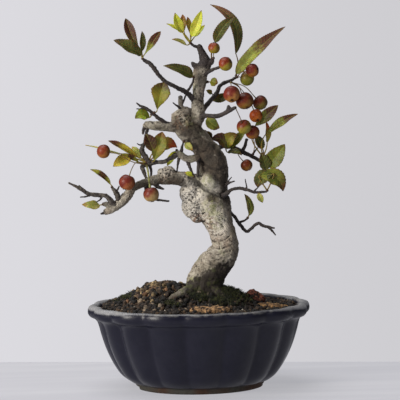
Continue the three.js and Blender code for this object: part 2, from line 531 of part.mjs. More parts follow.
// A leaf and its stem: a strip from the bud that widens into the toothed blade.
function leafSolid(seat, [base, tip, width, roll, fold, bow, sway]) {
  const from = new THREE.Vector3(...base);
  const to = new THREE.Vector3(...tip);
  const bud = new THREE.Vector3(...seat);
  const length = from.distanceTo(to);
  const ahead = to.clone().sub(from).normalize();
  const front = new THREE.Vector3(0, -1, 0);
  if (Math.abs(ahead.y) > 0.8) front.set(0, 0, 1);
  front.addScaledVector(ahead, -front.dot(ahead)).normalize();
  front.applyAxisAngle(ahead, THREE.MathUtils.degToRad(roll));
  const side = new THREE.Vector3().crossVectors(ahead, front);
  const lift = THREE.MathUtils.degToRad(fold);
  const rings = [];

  function addRing(middle, along, reach, rise) {
    const across = side.clone().addScaledVector(along, -side.dot(along)).normalize();
    const up = new THREE.Vector3().crossVectors(across, along);
    const thickness = LEAF_THICKNESS / Math.cos(rise);
    const edge = (way) => middle.clone().addScaledVector(across, way * reach * Math.cos(rise))
      .addScaledVector(up, reach * Math.sin(rise));
    const under = (p) => p.clone().addScaledVector(up, -thickness);
    const [left, right] = [edge(-1), edge(1)];
    rings.push([left, middle, right, under(right), under(middle), under(left)]);
  }

  const stem = new THREE.QuadraticBezierCurve3(
    bud, from.clone().addScaledVector(ahead, -0.45 * from.distanceTo(bud)), from);
  const stemSteps = from.distanceTo(bud) > 9 ? 2 : 1;
  for (let i = 0; i < stemSteps; i++) {
    addRing(stem.getPoint(i / stemSteps), stem.getTangent(i / stemSteps), PETIOLE_RADIUS, 0);
  }
  const steps = length > 34 ? 8 : length > 17 ? 6 : 4;
  for (let i = 0; i <= steps; i++) {
    const s = i / steps;
    const tooth = i % 2 && i < steps ? 1 : 0;
    const arch = 4 * s * (1 - s);
    const along = ahead.clone().multiplyScalar(length);
    along.addScaledVector(front, bow * (4 - 8 * s)).addScaledVector(side, sway * (4 - 8 * s)).normalize();
    const middle = from.clone().addScaledVector(ahead, length * s);
    middle.addScaledVector(front, bow * arch).addScaledVector(side, sway * arch);
    const reach = (width / 2) * leafOutline(s) * (tooth ? 1 + LEAF_TOOTH : 1 - LEAF_TOOTH);
    addRing(middle, along, Math.max(PETIOLE_RADIUS, reach), lift * Math.min(1, 4 * s + 0.2));
  }
  return bladeSolid(rings);
}

// A blade from rings of six: the upper left, middle and right, then the right, middle and left
// underneath. Both faces are split along the same diagonals.
function bladeSolid(rings) {
  const places = [];
  const faces = [];
  rings.flat().forEach((p) => places.push(p.x, p.y, p.z));
  for (let r = 0; r + 1 < rings.length; r++) {
    const [l, m, ri, ru, mu, lu] = [0, 1, 2, 3, 4, 5].map((k) => r * 6 + k);
    const [l2, m2, r2, ru2, mu2, lu2] = [6, 7, 8, 9, 10, 11].map((k) => r * 6 + k);
    faces.push(l, m, m2, l, m2, l2, m, ri, m2, ri, r2, m2);
    faces.push(lu, mu2, mu, lu, lu2, mu2, mu, mu2, ru, ru, mu2, ru2);
    faces.push(l, l2, lu2, l, lu2, lu, ri, ru, ru2, ri, ru2, r2);
  }
  const e = (rings.length - 1) * 6;
  faces.push(0, 5, 4, 0, 4, 1, 1, 4, 3, 1, 3, 2);
  faces.push(e, e + 4, e + 5, e, e + 1, e + 4, e + 1, e + 3, e + 4, e + 1, e + 2, e + 3);
  const geometry = new THREE.BufferGeometry();
  geometry.setAttribute("position", new THREE.Float32BufferAttribute(places, 3));
  geometry.setIndex(faces);
  return toSolid(geometry);
}

function budSolid(seat) {
  const ball = new THREE.OctahedronGeometry(BUD_RADIUS, 0);
  return toSolid(ball.translate(...seat));
}

function spraySolid({ seat, leaves }) {
  return Manifold.union([budSolid(seat), ...leaves.map((leaf) => leafSolid(seat, leaf))]);
}

// ---- Fruit ----

// From the dried calyx underneath to the dimple at the stalk: [share of the radius, height over it]
const FRUIT_PROFILE = [
  [0, -0.84], [0.2, -0.98], [0.34, -0.88], [0.76, -0.6], [1, -0.04], [0.85, 0.56], [0.42, 0.88], [0, 0.76],
];
const FRUIT_SIDES = 7;
const FRUIT_SHOULDER = 0.82; // the height of the dimple's wall at the stalk

// The way from a fruit's middle to the last bend of its stalk.
function stalkWay({ centre, stalk }) {
  return new THREE.Vector3(...stalk[stalk.length - 1]).sub(new THREE.Vector3(...centre)).normalize();
}

function fruitMesh(name, fruit) {
  const profile = FRUIT_PROFILE.map(([r, h]) => new THREE.Vector2(r, h).multiplyScalar(fruit.width / 2));
  const geometry = new THREE.LatheGeometry(profile, FRUIT_SIDES).rotateX(Math.PI / 2);
  geometry.applyQuaternion(new THREE.Quaternion().setFromUnitVectors(UP, stalkWay(fruit)));
  const mesh = piece(name, toSolid(geometry), FRUIT_RED);
  mesh.position.set(...fruit.centre);
  return mesh;
}

function stalkSolid(fruit) {
  const reach = (FRUIT_SHOULDER * fruit.width) / 2 + FIT_GAP + 0.5 * STALK_RADIUS;
  const end = new THREE.Vector3(...fruit.centre).addScaledVector(stalkWay(fruit), reach);
  const route = [...fruit.stalk, end.toArray()].map((p) => [...p, STALK_RADIUS]);
  return limbSolid(route, 4, 0);
}

function bunchSolid(fruits) {
  return Manifold.union([budSolid(fruits[0].stalk[0]), ...fruits.map(stalkSolid)]);
}

// ---- Pot ----

// One ring of the pot's wall: an oval whose edge swells out into lobes between creases.
function potRing([halfWidth, height, crease], inset = 0) {
  const steps = POT_LOBES * STEPS_PER_LOBE;
  const ring = [];
  for (let k = 0; k < steps; k++) {
    const angle = (Math.PI * (2 * k + STEPS_PER_LOBE)) / steps;
    const swell = 1 - crease * (1 - Math.abs(Math.cos((angle * POT_LOBES) / 2)));
    const reach = (halfWidth - inset) * swell;
    ring.push(new THREE.Vector3(reach * Math.cos(angle), POT_DEPTH_RATIO * reach * Math.sin(angle), height));
  }
  return ring;
}

function potSolid() {
  const rings = POT_PROFILE.map((level) => potRing(level));
  const under = new THREE.Vector3(0, 0, POT_UNDERSIDE);
  const floor = new THREE.Vector3(0, 0, POT_FLOOR);
  const cuts = [];
  for (const side of [-1, 1]) {
    const hole = new THREE.CylinderGeometry(DRAIN.radius, DRAIN.radius, 3 * POT_FLOOR, 20);
    cuts.push(toSolid(hole.rotateX(Math.PI / 2).translate(side * DRAIN.offset, 0, POT_FLOOR)));
    const arch = new THREE.BoxGeometry(FOOT_ARCH.reach, FOOT_ARCH.width, 2 * FOOT_ARCH.height);
    cuts.push(toSolid(arch.translate(side * FOOT_ARCH.offset, 0, 0)));
  }
  return mainBody(ringSolid(rings, under, floor).subtract(Manifold.union(cuts)), POT_TOLERANCE);
}

function screenSolid(side) {
  const sheet = new THREE.BoxGeometry(SCREEN.size, SCREEN.size, SCREEN.thickness);
  const cells = [-0.5, 0.5].flatMap((i) => [-0.5, 0.5].map((j) => {
    const cell = new THREE.BoxGeometry(SCREEN.cell, SCREEN.cell, 2 * SCREEN.thickness);
    return toSolid(cell.translate(i * SCREEN.pitch, j * SCREEN.pitch, 0));
  }));
  const solid = toSolid(sheet).subtract(Manifold.union(cells));
  const geometry = toGeometry(solid);
  return toSolid(geometry.translate(side * DRAIN.offset, 0, POT_FLOOR + FIT_GAP + SCREEN.thickness / 2));
}

// The clip's wire runs over the screen, down both sides of the hole and out under the pot's floor.
const CLIP_TOP = POT_FLOOR + SCREEN.thickness + 2 * FIT_GAP + CLIP.wire;
function clipSolid(side) {
  const low = POT_UNDERSIDE - FIT_GAP - CLIP.wire;
  const half = [[0, CLIP_TOP], [CLIP.legs - 1, CLIP_TOP], [CLIP.legs, CLIP_TOP - 1], [CLIP.legs, 8]];
  half.push([CLIP.legs, low + 1], [CLIP.legs + 1, low], [CLIP.legs + CLIP.hook, low]);
  const mirrored = half.slice(1).reverse().map(([x, z]) => [-x, z]);
  const centre = side * DRAIN.offset;
  const route = [...mirrored, ...half].map(([x, z]) => new THREE.Vector3(x + centre, CLIP.aside, z));
  const path = new THREE.CatmullRomCurve3(route, false, "centripetal");
  const section = new THREE.Shape().absarc(0, 0, CLIP.wire, 0, 2 * Math.PI);
  const geometry = new THREE.ExtrudeGeometry(section, { extrudePath: path, steps: 12, curveSegments: 3 });
  return toSolid(geometry);
}

// ---- Soil and what lies on it ----

const spread = (distance, width) => Math.exp(-(distance * distance) / (2 * width * width));

// The height of the soil at a place in the tree's frame.
function soilHeight(right, back) {
  const edge = Math.hypot(right, back / POT_DEPTH_RATIO) / SOIL_HALF_WIDTH;
  const inside = Math.max(0, 1 - Math.pow(edge, 5));
  let rise = 0;
  for (const [x, y, height, leftSpread, rightSpread, backSpread] of SOIL_RISES) {
    rise += height * spread(right - x, right < x ? leftSpread : rightSpread) * spread(back - y, backSpread);
  }
  const dip = SOIL_RIGHT_DIP * THREE.MathUtils.smoothstep(right, 35, 75);
  const lumps = SOIL_LUMPS * unevenness(new THREE.Vector3(right, back, 0), 4);
  return SOIL_EDGE + inside * (rise - dip + lumps);
}

function soilSolid(cutters) {
  const wall = POT_PROFILE.slice(FIRST_INNER_RING).reverse();
  const rings = wall.map(([halfWidth, height, crease], i) =>
    potRing([halfWidth, height + (i ? 0.2 : FIT_GAP), crease], FIT_GAP + 0.1));
  const rim = rings[rings.length - 1];
  const turn = (p) => p.clone().applyAxisAngle(UP, -TREE_TURN);
  const onTop = (p) => {
    const place = turn(p);
    return new THREE.Vector3(p.x, p.y, soilHeight(place.x, place.y));
  };
  for (const share of [0.93, 0.72, 0.5, 0.27]) {
    rings.push(rim.map((p) => onTop(new THREE.Vector3(p.x * share, p.y * share, 0))));
  }
  const floor = new THREE.Vector3(0, 0, POT_FLOOR + FIT_GAP);
  const mound = ringSolid(rings, floor, onTop(new THREE.Vector3()));
  const pockets = [-1, 1].map((side) => {
    const size = SCREEN.size + 2 * FIT_GAP;
    const top = CLIP_TOP + CLIP.wire + FIT_GAP;
    const pocket = new THREE.BoxGeometry(size, size, top);
    return toSolid(pocket.translate(side * DRAIN.offset, 0, top / 2));
  });
  return mainBody(mound.subtract(Manifold.union([...pockets, ...cutters])), POT_TOLERANCE);
}

// A flat flake of bark or a pebble, half sunk in the soil and lying along its slope.
function flakeSolid([, right, back, length, width, thickness, turn, sides], grow = 0) {
  const outline = new THREE.Shape();
  for (let k = 0; k < sides; k++) {
    const angle = (2 * Math.PI * k) / sides;
    const rough = 1 + 0.14 * Math.sin(2.7 * k + right);
    const x = (length / 2) * rough * Math.cos(angle) + grow * Math.cos(angle);
    const y = (width / 2) * rough * Math.sin(angle) + grow * Math.sin(angle);
    if (k) outline.lineTo(x, y);
    else outline.moveTo(x, y);
  }
  const bevel = thickness / 4;
  const geometry = new THREE.ExtrudeGeometry(outline, {
    depth: thickness - 2 * bevel + 2 * grow, bevelThickness: bevel, bevelSize: bevel, bevelOffset: -bevel,
    bevelSegments: 1,
  });
  geometry.translate(0, 0, bevel - 0.45 * thickness - grow).rotateZ(THREE.MathUtils.degToRad(turn));
  const reach = length / 3;
  const slopeRight = (soilHeight(right + reach, back) - soilHeight(right - reach, back)) / (2 * reach);
  const slopeBack = (soilHeight(right, back + reach) - soilHeight(right, back - reach)) / (2 * reach);
  const normal = new THREE.Vector3(-slopeRight, -slopeBack, 1).normalize();
  geometry.applyQuaternion(new THREE.Quaternion().setFromUnitVectors(UP, normal));
  return toSolid(geometry.translate(right, back, soilHeight(right, back)));
}

// ---- The whole part ----

function piece(name, solid, material) {
  const mesh = new THREE.Mesh(toGeometry(solid), material);
  mesh.name = name;
  return mesh;
}

const wood = mainBody(woodSolid(), WOOD_TOLERANCE);
const clearance = woodSolid(FIT_GAP + 0.1).simplify(WOOD_TOLERANCE / 2);

const tree = new THREE.Group();
tree.rotation.z = TREE_TURN;
tree.add(piece("wood", wood, BARK));
for (const [name, spray] of Object.entries(SPRAYS)) {
  const solid = mainBody(spraySolid(spray).subtract(clearance));
  tree.add(piece(`leaves_${name}`, solid, SPRAY_FINISH[name] ?? LEAF_GREEN));
}
CRABAPPLES.forEach((fruit, i) => tree.add(fruitMesh(`crabapple_${i + 1}`, fruit)));
BUNCHES.forEach((bunch, i) => {
  const solid = bunchSolid(bunch.map((k) => CRABAPPLES[k])).subtract(clearance);
  tree.add(piece(`stalks_${i + 1}`, mainBody(solid), STALK_GREEN));
});
for (const flake of TOP_DRESSING) {
  const solid = mainBody(flakeSolid(flake).subtract(clearance));
  tree.add(piece(flake[0], solid, flake[flake.length - 1]));
}

const turned = (solid) => toSolid(toGeometry(solid).rotateZ(TREE_TURN));
const sunk = [clearance, ...TOP_DRESSING.map((flake) => flakeSolid(flake, FIT_GAP))].map(turned);

const potted = new THREE.Group();
potted.add(piece("pot", potSolid(), GLAZE));
potted.add(piece("soil", soilSolid(sunk), SOIL_BROWN));
[-1, 1].forEach((side, i) => {
  potted.add(piece(`drainage_screen_${i + 1}`, screenSolid(side), SCREEN_BLACK));
  potted.add(piece(`screen_clip_${i + 1}`, clipSolid(side), WIRE));
});

const bonsai = new THREE.Group();
bonsai.add(potted, tree);
const box = new THREE.Box3().setFromObject(bonsai, true);
const middle = box.getCenter(new THREE.Vector3());
bonsai.position.set(-middle.x, -middle.y, -box.min.z);

export default bonsai;
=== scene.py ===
"""The looks of a crabapple bonsai in a lobed oval pot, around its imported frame.

Sizes are millimetres. The pot's own frame has its long axis along X; the tree is turned a little about
the pot's upright axis, and its places are [right, back, up] over the pot's middle, seen from its front.
They become metres in the row's frame when a piece's mesh is made.
"""

import math

import bpy
import numpy as np
from mathutils import Matrix, Vector, kdtree, noise


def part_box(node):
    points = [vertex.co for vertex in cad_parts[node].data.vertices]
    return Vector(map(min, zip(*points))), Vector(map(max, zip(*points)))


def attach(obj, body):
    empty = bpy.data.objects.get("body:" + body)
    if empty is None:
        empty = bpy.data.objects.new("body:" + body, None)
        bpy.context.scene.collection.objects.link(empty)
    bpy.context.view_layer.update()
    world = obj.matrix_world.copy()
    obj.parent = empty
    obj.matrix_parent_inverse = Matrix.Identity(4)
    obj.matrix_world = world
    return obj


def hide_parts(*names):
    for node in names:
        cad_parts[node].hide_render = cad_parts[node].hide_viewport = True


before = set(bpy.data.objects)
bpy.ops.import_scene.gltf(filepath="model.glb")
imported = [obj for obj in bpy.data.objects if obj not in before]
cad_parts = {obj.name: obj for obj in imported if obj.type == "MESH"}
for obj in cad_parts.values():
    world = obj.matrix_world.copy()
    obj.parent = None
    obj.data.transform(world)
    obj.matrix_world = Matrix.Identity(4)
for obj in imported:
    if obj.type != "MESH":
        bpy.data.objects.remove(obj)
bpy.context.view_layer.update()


# ---- Driving dimensions ----

MM = 0.001
TREE_TURN = math.radians(-4)
POT_LOW, POT_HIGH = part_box("pot")
POT_MIDDLE = [(POT_LOW[i] + POT_HIGH[i]) / 2 / MM for i in range(2)]
POT_DEPTH_RATIO = 0.775  # the oval's depth over its width
POT_LOBES = 16

# ---- Frames ----


def to_row(points, turn=0.0):
    """Millimetres over the pot's middle to metres in the row's frame."""
    p = np.asarray(points, float).reshape(-1, 3)
    x = math.cos(turn) * p[:, 0] - math.sin(turn) * p[:, 1] + POT_MIDDLE[0]
    y = math.sin(turn) * p[:, 0] + math.cos(turn) * p[:, 1] + POT_MIDDLE[1]
    return np.column_stack([x, y, p[:, 2]]) * MM


def unit(vectors):
    v = np.asarray(vectors, float)
    return v / np.maximum(np.linalg.norm(v, axis=-1, keepdims=True), 1e-12)


def rotated(vector, axis, angle):
    """A vector turned about a unit axis."""
    cross = np.cross(axis, vector)
    lengthwise = np.asarray(axis) * np.dot(axis, vector)
    return vector * math.cos(angle) + cross * math.sin(angle) + lengthwise * (1 - math.cos(angle))


def smoothstep(low, high, value):
    t = np.clip((np.asarray(value, float) - low) / (high - low), 0, 1)
    return t * t * (3 - 2 * t)


def noise_at(points, scale, offset=0.0):
    """Smooth noise from about -1 to 1 at each point, with features about scale long."""
    p = np.asarray(points, float) / scale + offset
    return np.array([noise.noise(q) for q in p.tolist()])


def smooth_route(route, step):
    """Rows [right, back, up, ...] on a smooth curve through a route's rows, about step apart."""
    rows = np.array(route, float)
    rows = np.vstack([2 * rows[0] - rows[1], rows, 2 * rows[-1] - rows[-2]])
    out = []
    for i in range(1, len(rows) - 2):
        before, here, there, after = rows[i - 1:i + 3]
        gaps = np.diff(rows[i - 1:i + 3, :3], axis=0)
        a, b, c = np.sqrt(np.linalg.norm(gaps, axis=1)) + 1e-9
        leave = there - here + b * ((here - before) / a - (there - before) / (a + b))
        arrive = there - here + b * ((after - there) / c - (after - here) / (b + c))
        count = max(1, round(float(np.linalg.norm(gaps[1])) / step))
        for t in np.arange(count) / count:
            start = (1 + 2 * t) * (1 - t) ** 2 * here + t * (1 - t) ** 2 * leave
            out.append(start + t * t * (3 - 2 * t) * there - t * t * (1 - t) * arrive)
    out.append(rows[-2])
    return np.array(out)


# ---- Meshes ----


def make_piece(name, points, faces, material, turn=0.0, colours=None, values=None):
    """A mesh object from millimetre places over the pot's middle."""
    mesh = bpy.data.meshes.new(name)
    mesh.from_pydata(to_row(points, turn).tolist(), [], [list(face) for face in faces])
    mesh.materials.append(material)
    dress_mesh(mesh, colours, values)
    return link_mesh(name, mesh)


def link_mesh(name, mesh):
    piece = bpy.data.objects.new(name, mesh)
    bpy.context.scene.collection.objects.link(piece)
    return piece


def dress_mesh(mesh, colours=None, values=None):
    """Smooth shading, and point attributes: colours by name (rows of three) and values by name."""
    for name, rows in (colours or {}).items():
        rgba = np.ones((len(mesh.vertices), 4), np.float32)
        rgba[:, :3] = rows
        layer = mesh.attributes.new(name, "FLOAT_COLOR", "POINT")
        layer.data.foreach_set("color", rgba.ravel())
    for name, numbers in (values or {}).items():
        layer = mesh.attributes.new(name, "FLOAT", "POINT")
        layer.data.foreach_set("value", np.asarray(numbers, np.float32))
    mesh.polygons.foreach_set("use_smooth", [True] * len(mesh.polygons))
    mesh.update()


def evaluated_mesh(piece):
    """The mesh that a piece's modifiers make, as a plain mesh. The piece itself is removed."""
    graph = bpy.context.evaluated_depsgraph_get()
    mesh = bpy.data.meshes.new_from_object(piece.evaluated_get(graph))
    old = piece.data
    bpy.data.objects.remove(piece)
    bpy.data.meshes.remove(old)
    return mesh


def mesh_points(mesh):
    points = np.zeros(len(mesh.vertices) * 3)
    mesh.vertices.foreach_get("co", points)
    return points.reshape(-1, 3)


def move_mesh(mesh, points, material, turn=0.0):
    """Takes a mesh's points to millimetre places over the pot's middle and gives it its material."""
    mesh.vertices.foreach_set("co", to_row(points, turn).ravel())
    mesh.materials.clear()
    mesh.materials.append(material)


def mesh_normals(mesh):
    normals = np.zeros(len(mesh.vertices) * 3)
    mesh.vertex_normals.foreach_get("vector", normals)
    return normals.reshape(-1, 3)


def run_tree(piece, tree, inputs):
    """The plain mesh that a geometry nodes tree makes of a piece."""
    modifier = piece.modifiers.new(tree.name, "NODES")
    modifier.node_group = tree
    for identifier, value in inputs.items():
        modifier[identifier] = value
    return evaluated_mesh(piece)


def finish_piece(piece, slot, *nodes):
    """The piece rides on the tree's one body and stands for its CAD nodes."""
    piece.data.update()
    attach(piece, "root")
    if nodes:
        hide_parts(*nodes)
    return piece


class Shape:
    """Points, faces and point attributes that are collected into one mesh."""

    def __init__(self):
        self.points = []
        self.faces = []
        self.colours = {}
        self.values = {}
        self.count = 0

    def add(self, points, faces, colours=None, values=None):
        points = np.asarray(points, float)
        self.points.append(points)
        self.faces.extend([[k + self.count for k in face] for face in faces])
        for store, given in ((self.colours, colours), (self.values, values)):
            for name, rows in (given or {}).items():
                store.setdefault(name, []).append(np.asarray(rows, float))
        self.count += len(points)

    def piece(self, name, material):
        """One mesh object of all that was added, from places in the tree's frame."""
        colours = {key: np.vstack(rows) for key, rows in self.colours.items()}
        values = {key: np.concatenate(rows) for key, rows in self.values.items()}
        return make_piece(name, np.vstack(self.points), self.faces, material, TREE_TURN, colours, values)


def circle_angles(count, offset=0.0):
    """Evenly spread angles once round; offset is a share of the step between them."""
    return 2 * math.pi * (np.arange(count) + offset) / count


def ring_faces(rings, around):
    """Quads between rings of equal length, and a fan to a middle point at each end."""
    faces = []
    for r in range(rings - 1):
        for k in range(around):
            a = r * around + k
            b = r * around + (k + 1) % around
            faces.append((a, b, b + around, a + around))
    start = rings * around
    last = (rings - 1) * around
    for k in range(around):
        after = (k + 1) % around
        faces.append((start, after, k))
        faces.append((start + 1, last + k, last + after))
    return faces


TUBE_ENDS = (0.5, 0.6)  # how far a tube's rounded start and end reach past its route, over its radius


def tube(rows, sides, lumps=0.0, lump_scale=3.0, seed=0.0):
    """A closed round tube along rows [right, back, up, radius]: points and faces."""
    middles = rows[:, :3]
    radii = rows[:, 3]
    along = unit(np.gradient(middles, axis=0))
    normal = np.cross(along[0], (1, 0, 0) if abs(along[0][1]) > 0.8 else (0, 1, 0))
    angles = circle_angles(sides)
    rings = []
    for i, middle in enumerate(middles):
        normal = unit(normal - along[i] * np.dot(normal, along[i]))
        across = np.cross(along[i], normal)
        ways = np.outer(np.cos(angles), normal) + np.outer(np.sin(angles), across)
        rings.append(middle + ways * radii[i])
    points = np.vstack(rings)
    if lumps:
        out = points - np.repeat(middles, sides, axis=0)
        points = points + out * (lumps * noise_at(points, lump_scale, seed))[:, None]
    start = middles[0] - along[0] * TUBE_ENDS[0] * radii[0]
    end = middles[-1] + along[-1] * TUBE_ENDS[1] * radii[-1]
    return np.vstack([points, start, end]), ring_faces(len(rows), sides)


# ---- Shader building blocks ----


class Nodes:
    """A node tree under construction, with short calls to add nodes and join them."""

    def __init__(self, tree):
        self.tree = tree

    def add(self, kind, inputs=None, **settings):
        node = self.tree.nodes.new(kind)
        for name, value in settings.items():
            setattr(node, name, value)
        for name, value in (inputs or {}).items():
            self.feed(node, name, value)
        return node

    def feed(self, node, name, value):
        socket = node.inputs[name]
        if isinstance(value, bpy.types.NodeSocket):
            self.tree.links.new(value, socket)
        else:
            socket.default_value = colour(value) if socket.type == "RGBA" else value

    def math(self, operation, *values):
        node = self.add("ShaderNodeMath", operation=operation)
        for i, value in enumerate(values):
            self.feed(node, i, value)
        return node.outputs[0]

    def times(self, first, second):
        return self.math("MULTIPLY", first, second)

    def plus(self, first, second):
        return self.math("ADD", first, second)

    def blend(self, factor, first, second, kind="MIX"):
        node = self.add("ShaderNodeMix", data_type="RGBA", blend_type=kind)
        for index, value in ((0, factor), (6, first), (7, second)):
            self.feed(node, index, value)
        return node.outputs[2]

    def ramp(self, value, low, high, bottom=0.0, top=1.0):
        """A smooth rise from bottom to top while value goes from low to high."""
        node = self.add("ShaderNodeMapRange", interpolation_type="SMOOTHSTEP")
        for name, number in (("From Min", low), ("From Max", high), ("To Min", bottom), ("To Max", top)):
            self.feed(node, name, number)
        self.feed(node, "Value", value)
        return node.outputs[0]

    def noise(self, place, scale, detail=3.0, roughness=0.55):
        inputs = {"Vector": place, "Scale": scale, "Detail": detail, "Roughness": roughness}
        return self.add("ShaderNodeTexNoise", inputs).outputs["Fac"]

    def cells(self, place, scale, feature="F1"):
        inputs = {"Vector": place, "Scale": scale}
        return self.add("ShaderNodeTexVoronoi", inputs, feature=feature).outputs["Distance"]

    def attribute(self, name, output="Fac"):
        return self.add("ShaderNodeAttribute", attribute_name=name).outputs[output]

    def object_place(self):
        return self.add("ShaderNodeTexCoord").outputs["Object"]

    def stretched(self, place, scale):
        return self.add("ShaderNodeMapping", {"Vector": place, "Scale": scale}).outputs[0]

    def group(self, tree, inputs):
        node = self.add("ShaderNodeGroup", node_tree=tree)
        for name, value in inputs.items():
            self.feed(node, name, value)
        return node

    def bump(self, height, strength, distance):
        inputs = {"Height": height, "Strength": strength, "Distance": distance}
        return self.add("ShaderNodeBump", inputs).outputs[0]


def colour(value):
    """A colour written as #rrggbb in display values, as linear red, green and blue, and alpha."""
    parts = [int(value[i:i + 2], 16) / 255 for i in (1, 3, 5)]
    return (*[p / 12.92 if p <= 0.04045 else ((p + 0.055) / 1.055) ** 2.4 for p in parts], 1.0)


def rgb(value):
    return np.array(colour(value)[:3])


def shader_group(name, inputs, outputs, build):
    """A shader node group with named inputs (name: default) and outputs (name: socket kind)."""
    tree = bpy.data.node_groups.new(name, "ShaderNodeTree")
    for key, value in inputs.items():
        kind = "NodeSocketColor" if isinstance(value, str) else "NodeSocketFloat"
        kind = "NodeSocketVector" if value is None else kind
        socket = tree.interface.new_socket(key, in_out="INPUT", socket_type=kind)
        if value is not None:
            socket.default_value = colour(value) if kind == "NodeSocketColor" else value
    for key, kind in outputs.items():
        tree.interface.new_socket(key, in_out="OUTPUT", socket_type=kind)
    n = Nodes(tree)
    given = tree.nodes.new("NodeGroupInput").outputs
    out = tree.nodes.new("NodeGroupOutput")
    for key, socket in build(n, given).items():
        tree.links.new(socket, out.inputs[key])
    return tree


def geometry_tree(name, inputs):
    """A geometry nodes tree under construction, with inputs given as name: socket kind.

    Returned are its nodes, its group input's sockets, its group output and the inputs' identifiers.
    """
    tree = bpy.data.node_groups.new(name, "GeometryNodeTree")
    tree.interface.new_socket("Geometry", in_out="INPUT", socket_type="NodeSocketGeometry")
    sockets = {}
    for key, kind in inputs.items():
        socket = tree.interface.new_socket(key, in_out="INPUT", socket_type=kind)
        sockets[key] = socket.identifier
    tree.interface.new_socket("Geometry", in_out="OUTPUT", socket_type="NodeSocketGeometry")
    given = tree.nodes.new("NodeGroupInput").outputs
    return Nodes(tree), given, tree.nodes.new("NodeGroupOutput"), sockets


def build_mottle(n, given):
    """Two sizes of noise that shift a colour towards a second one."""
    broad = n.noise(given["Place"], given["Scale"], 2.0)
    fine = n.noise(given["Place"], n.times(given["Scale"], 5.3), 4.0)
    mix = n.ramp(n.plus(n.times(broad, 0.65), n.times(fine, 0.35)), 0.36, 0.66)
    return {"Colour": n.blend(mix, given["Colour"], given["Second"])}


def build_spots(n, given):
    """A mask of small round spots, each of its own size, scattered over the surface."""
    warp = n.noise(given["Place"], n.times(given["Scale"], 0.5), 1.0)
    offset = n.add("ShaderNodeCombineXYZ", {"X": n.times(warp, given["Wobble"])}).outputs[0]
    shifted = n.add("ShaderNodeVectorMath", {0: given["Place"], 1: offset}, operation="ADD")
    distance = n.cells(shifted.outputs[0], given["Scale"])
    where = n.ramp(n.noise(given["Place"], n.times(given["Scale"], 0.23), 2.0), 0.42, 0.6)
    mask = n.times(n.ramp(distance, given["Size"], n.times(given["Size"], 0.45)), where)
    return {"Mask": mask}


def build_dust_and_sheen(n, given):
    """A mask of pale dusting and painted sheen on faces that look up, broken by noise."""
    normal = n.add("ShaderNodeNewGeometry").outputs["Normal"]
    upward = n.add("ShaderNodeSeparateXYZ", {0: normal}).outputs["Z"]
    broken = n.noise(given["Place"], given["Scale"], 4.0)
    mask = n.times(n.ramp(upward, 0.15, 0.95), n.ramp(broken, 0.4, 0.7))
    return {"Mask": n.times(mask, given["Amount"])}


MOTTLE = shader_group(
    "mottle",
    {"Place": None, "Scale": 60.0, "Colour": "#808080", "Second": "#606060"},
    {"Colour": "NodeSocketColor"},
    build_mottle,
)
SPOTS = shader_group(
    "spots",
    {"Place": None, "Scale": 300.0, "Size": 0.3, "Wobble": 0.002},
    {"Mask": "NodeSocketFloat"},
    build_spots,
)
DUST_AND_SHEEN = shader_group(
    "dust_and_sheen",
    {"Place": None, "Scale": 120.0, "Amount": 0.5},
    {"Mask": "NodeSocketFloat"},
    build_dust_and_sheen,
)


def make_material(name, build, **constants):
    """A Principled material. build returns what feeds its sockets; constants are set on it."""
    material = bpy.data.materials.new(name)
    material.use_nodes = True
    n = Nodes(material.node_tree)
    shader = material.node_tree.nodes["Principled BSDF"]
    for key, value in constants.items():
        shader.inputs[key.replace("_", " ").title().replace("Ior", "IOR")].default_value = value
    for key, socket in build(n).items():
        n.feed(shader, key, socket)
    return material


# ---- Materials ----


def mottled(n, place, scale, first, second):
    """A colour that wavers between two."""
    inputs = {"Place": place, "Scale": scale, "Colour": first, "Second": second}
    return n.group(MOTTLE, inputs).outputs["Colour"]


def spotted(n, place, scale, size, wobble):
    """A mask of small round spots."""
    inputs = {"Place": place, "Scale": scale, "Size": size, "Wobble": wobble}
    return n.group(SPOTS, inputs).outputs["Mask"]


def plain(scale, first, second, grain=None, own=None):
    """What builds a plain finish: two tones, or each place's own tone darkened in patches by them.

    grain is the scale, detail, strength and depth of a noise that roughens the surface, and own is
    the attribute that holds the places' tones.
    """
    def build(n):
        place = n.object_place()
        base = mottled(n, place, scale, first, second)
        if own:
            base = n.blend(1.0, n.attribute(own, "Color"), base, "MULTIPLY")
        if not grain:
            return {"Base Color": base}
        size, detail, strength, depth = grain
        return {"Base Color": base, "Normal": n.bump(n.noise(place, size, detail), strength, depth)}

    return build


def glaze(n):
    """Dark navy glaze breaking to grey on edges, with painted grey highlights and sheen, over clay bare at
    the foot.
    """
    place = n.object_place()
    body = mottled(n, place, 45.0, "#101020", "#181826")
    # painted reflection and highlights: the edge mask also pales the lip's top and lines along the creases
    edge = n.plus(n.attribute("edge"), n.times(n.noise(place, 90.0), 0.35))
    wear_and_highlight = n.ramp(edge, 0.55, 1.25)
    glazed = n.blend(n.times(wear_and_highlight, 0.62), body, "#a4a4a6")
    bare = n.attribute("bare")
    tone = n.ramp(n.noise(n.stretched(place, (1.0, 1.0, 0.2)), 22.0, 2.0), 0.42, 0.6)
    clay = n.blend(tone, "#3a3932", "#3c2617")
    clay = n.blend(n.ramp(n.noise(place, 500.0), 0.35, 0.7, 0.0, 0.4), clay, "#1f1a15")
    # painted sheen: faces that look up are paled along with the dusting
    dust_and_sheen = n.group(DUST_AND_SHEEN, {"Place": place, "Scale": 200.0, "Amount": 0.6}).outputs["Mask"]
    base = n.blend(bare, n.blend(dust_and_sheen, glazed, "#8d8b86"), clay)
    rough = n.plus(0.31, n.times(n.plus(bare, n.times(dust_and_sheen, 0.6)), 0.5))
    height = n.plus(n.noise(place, 160.0, 2.0), n.times(n.noise(place, 1400.0), bare))
    return {"Base Color": base, "Roughness": rough, "Normal": n.bump(height, 0.35, 0.0004)}


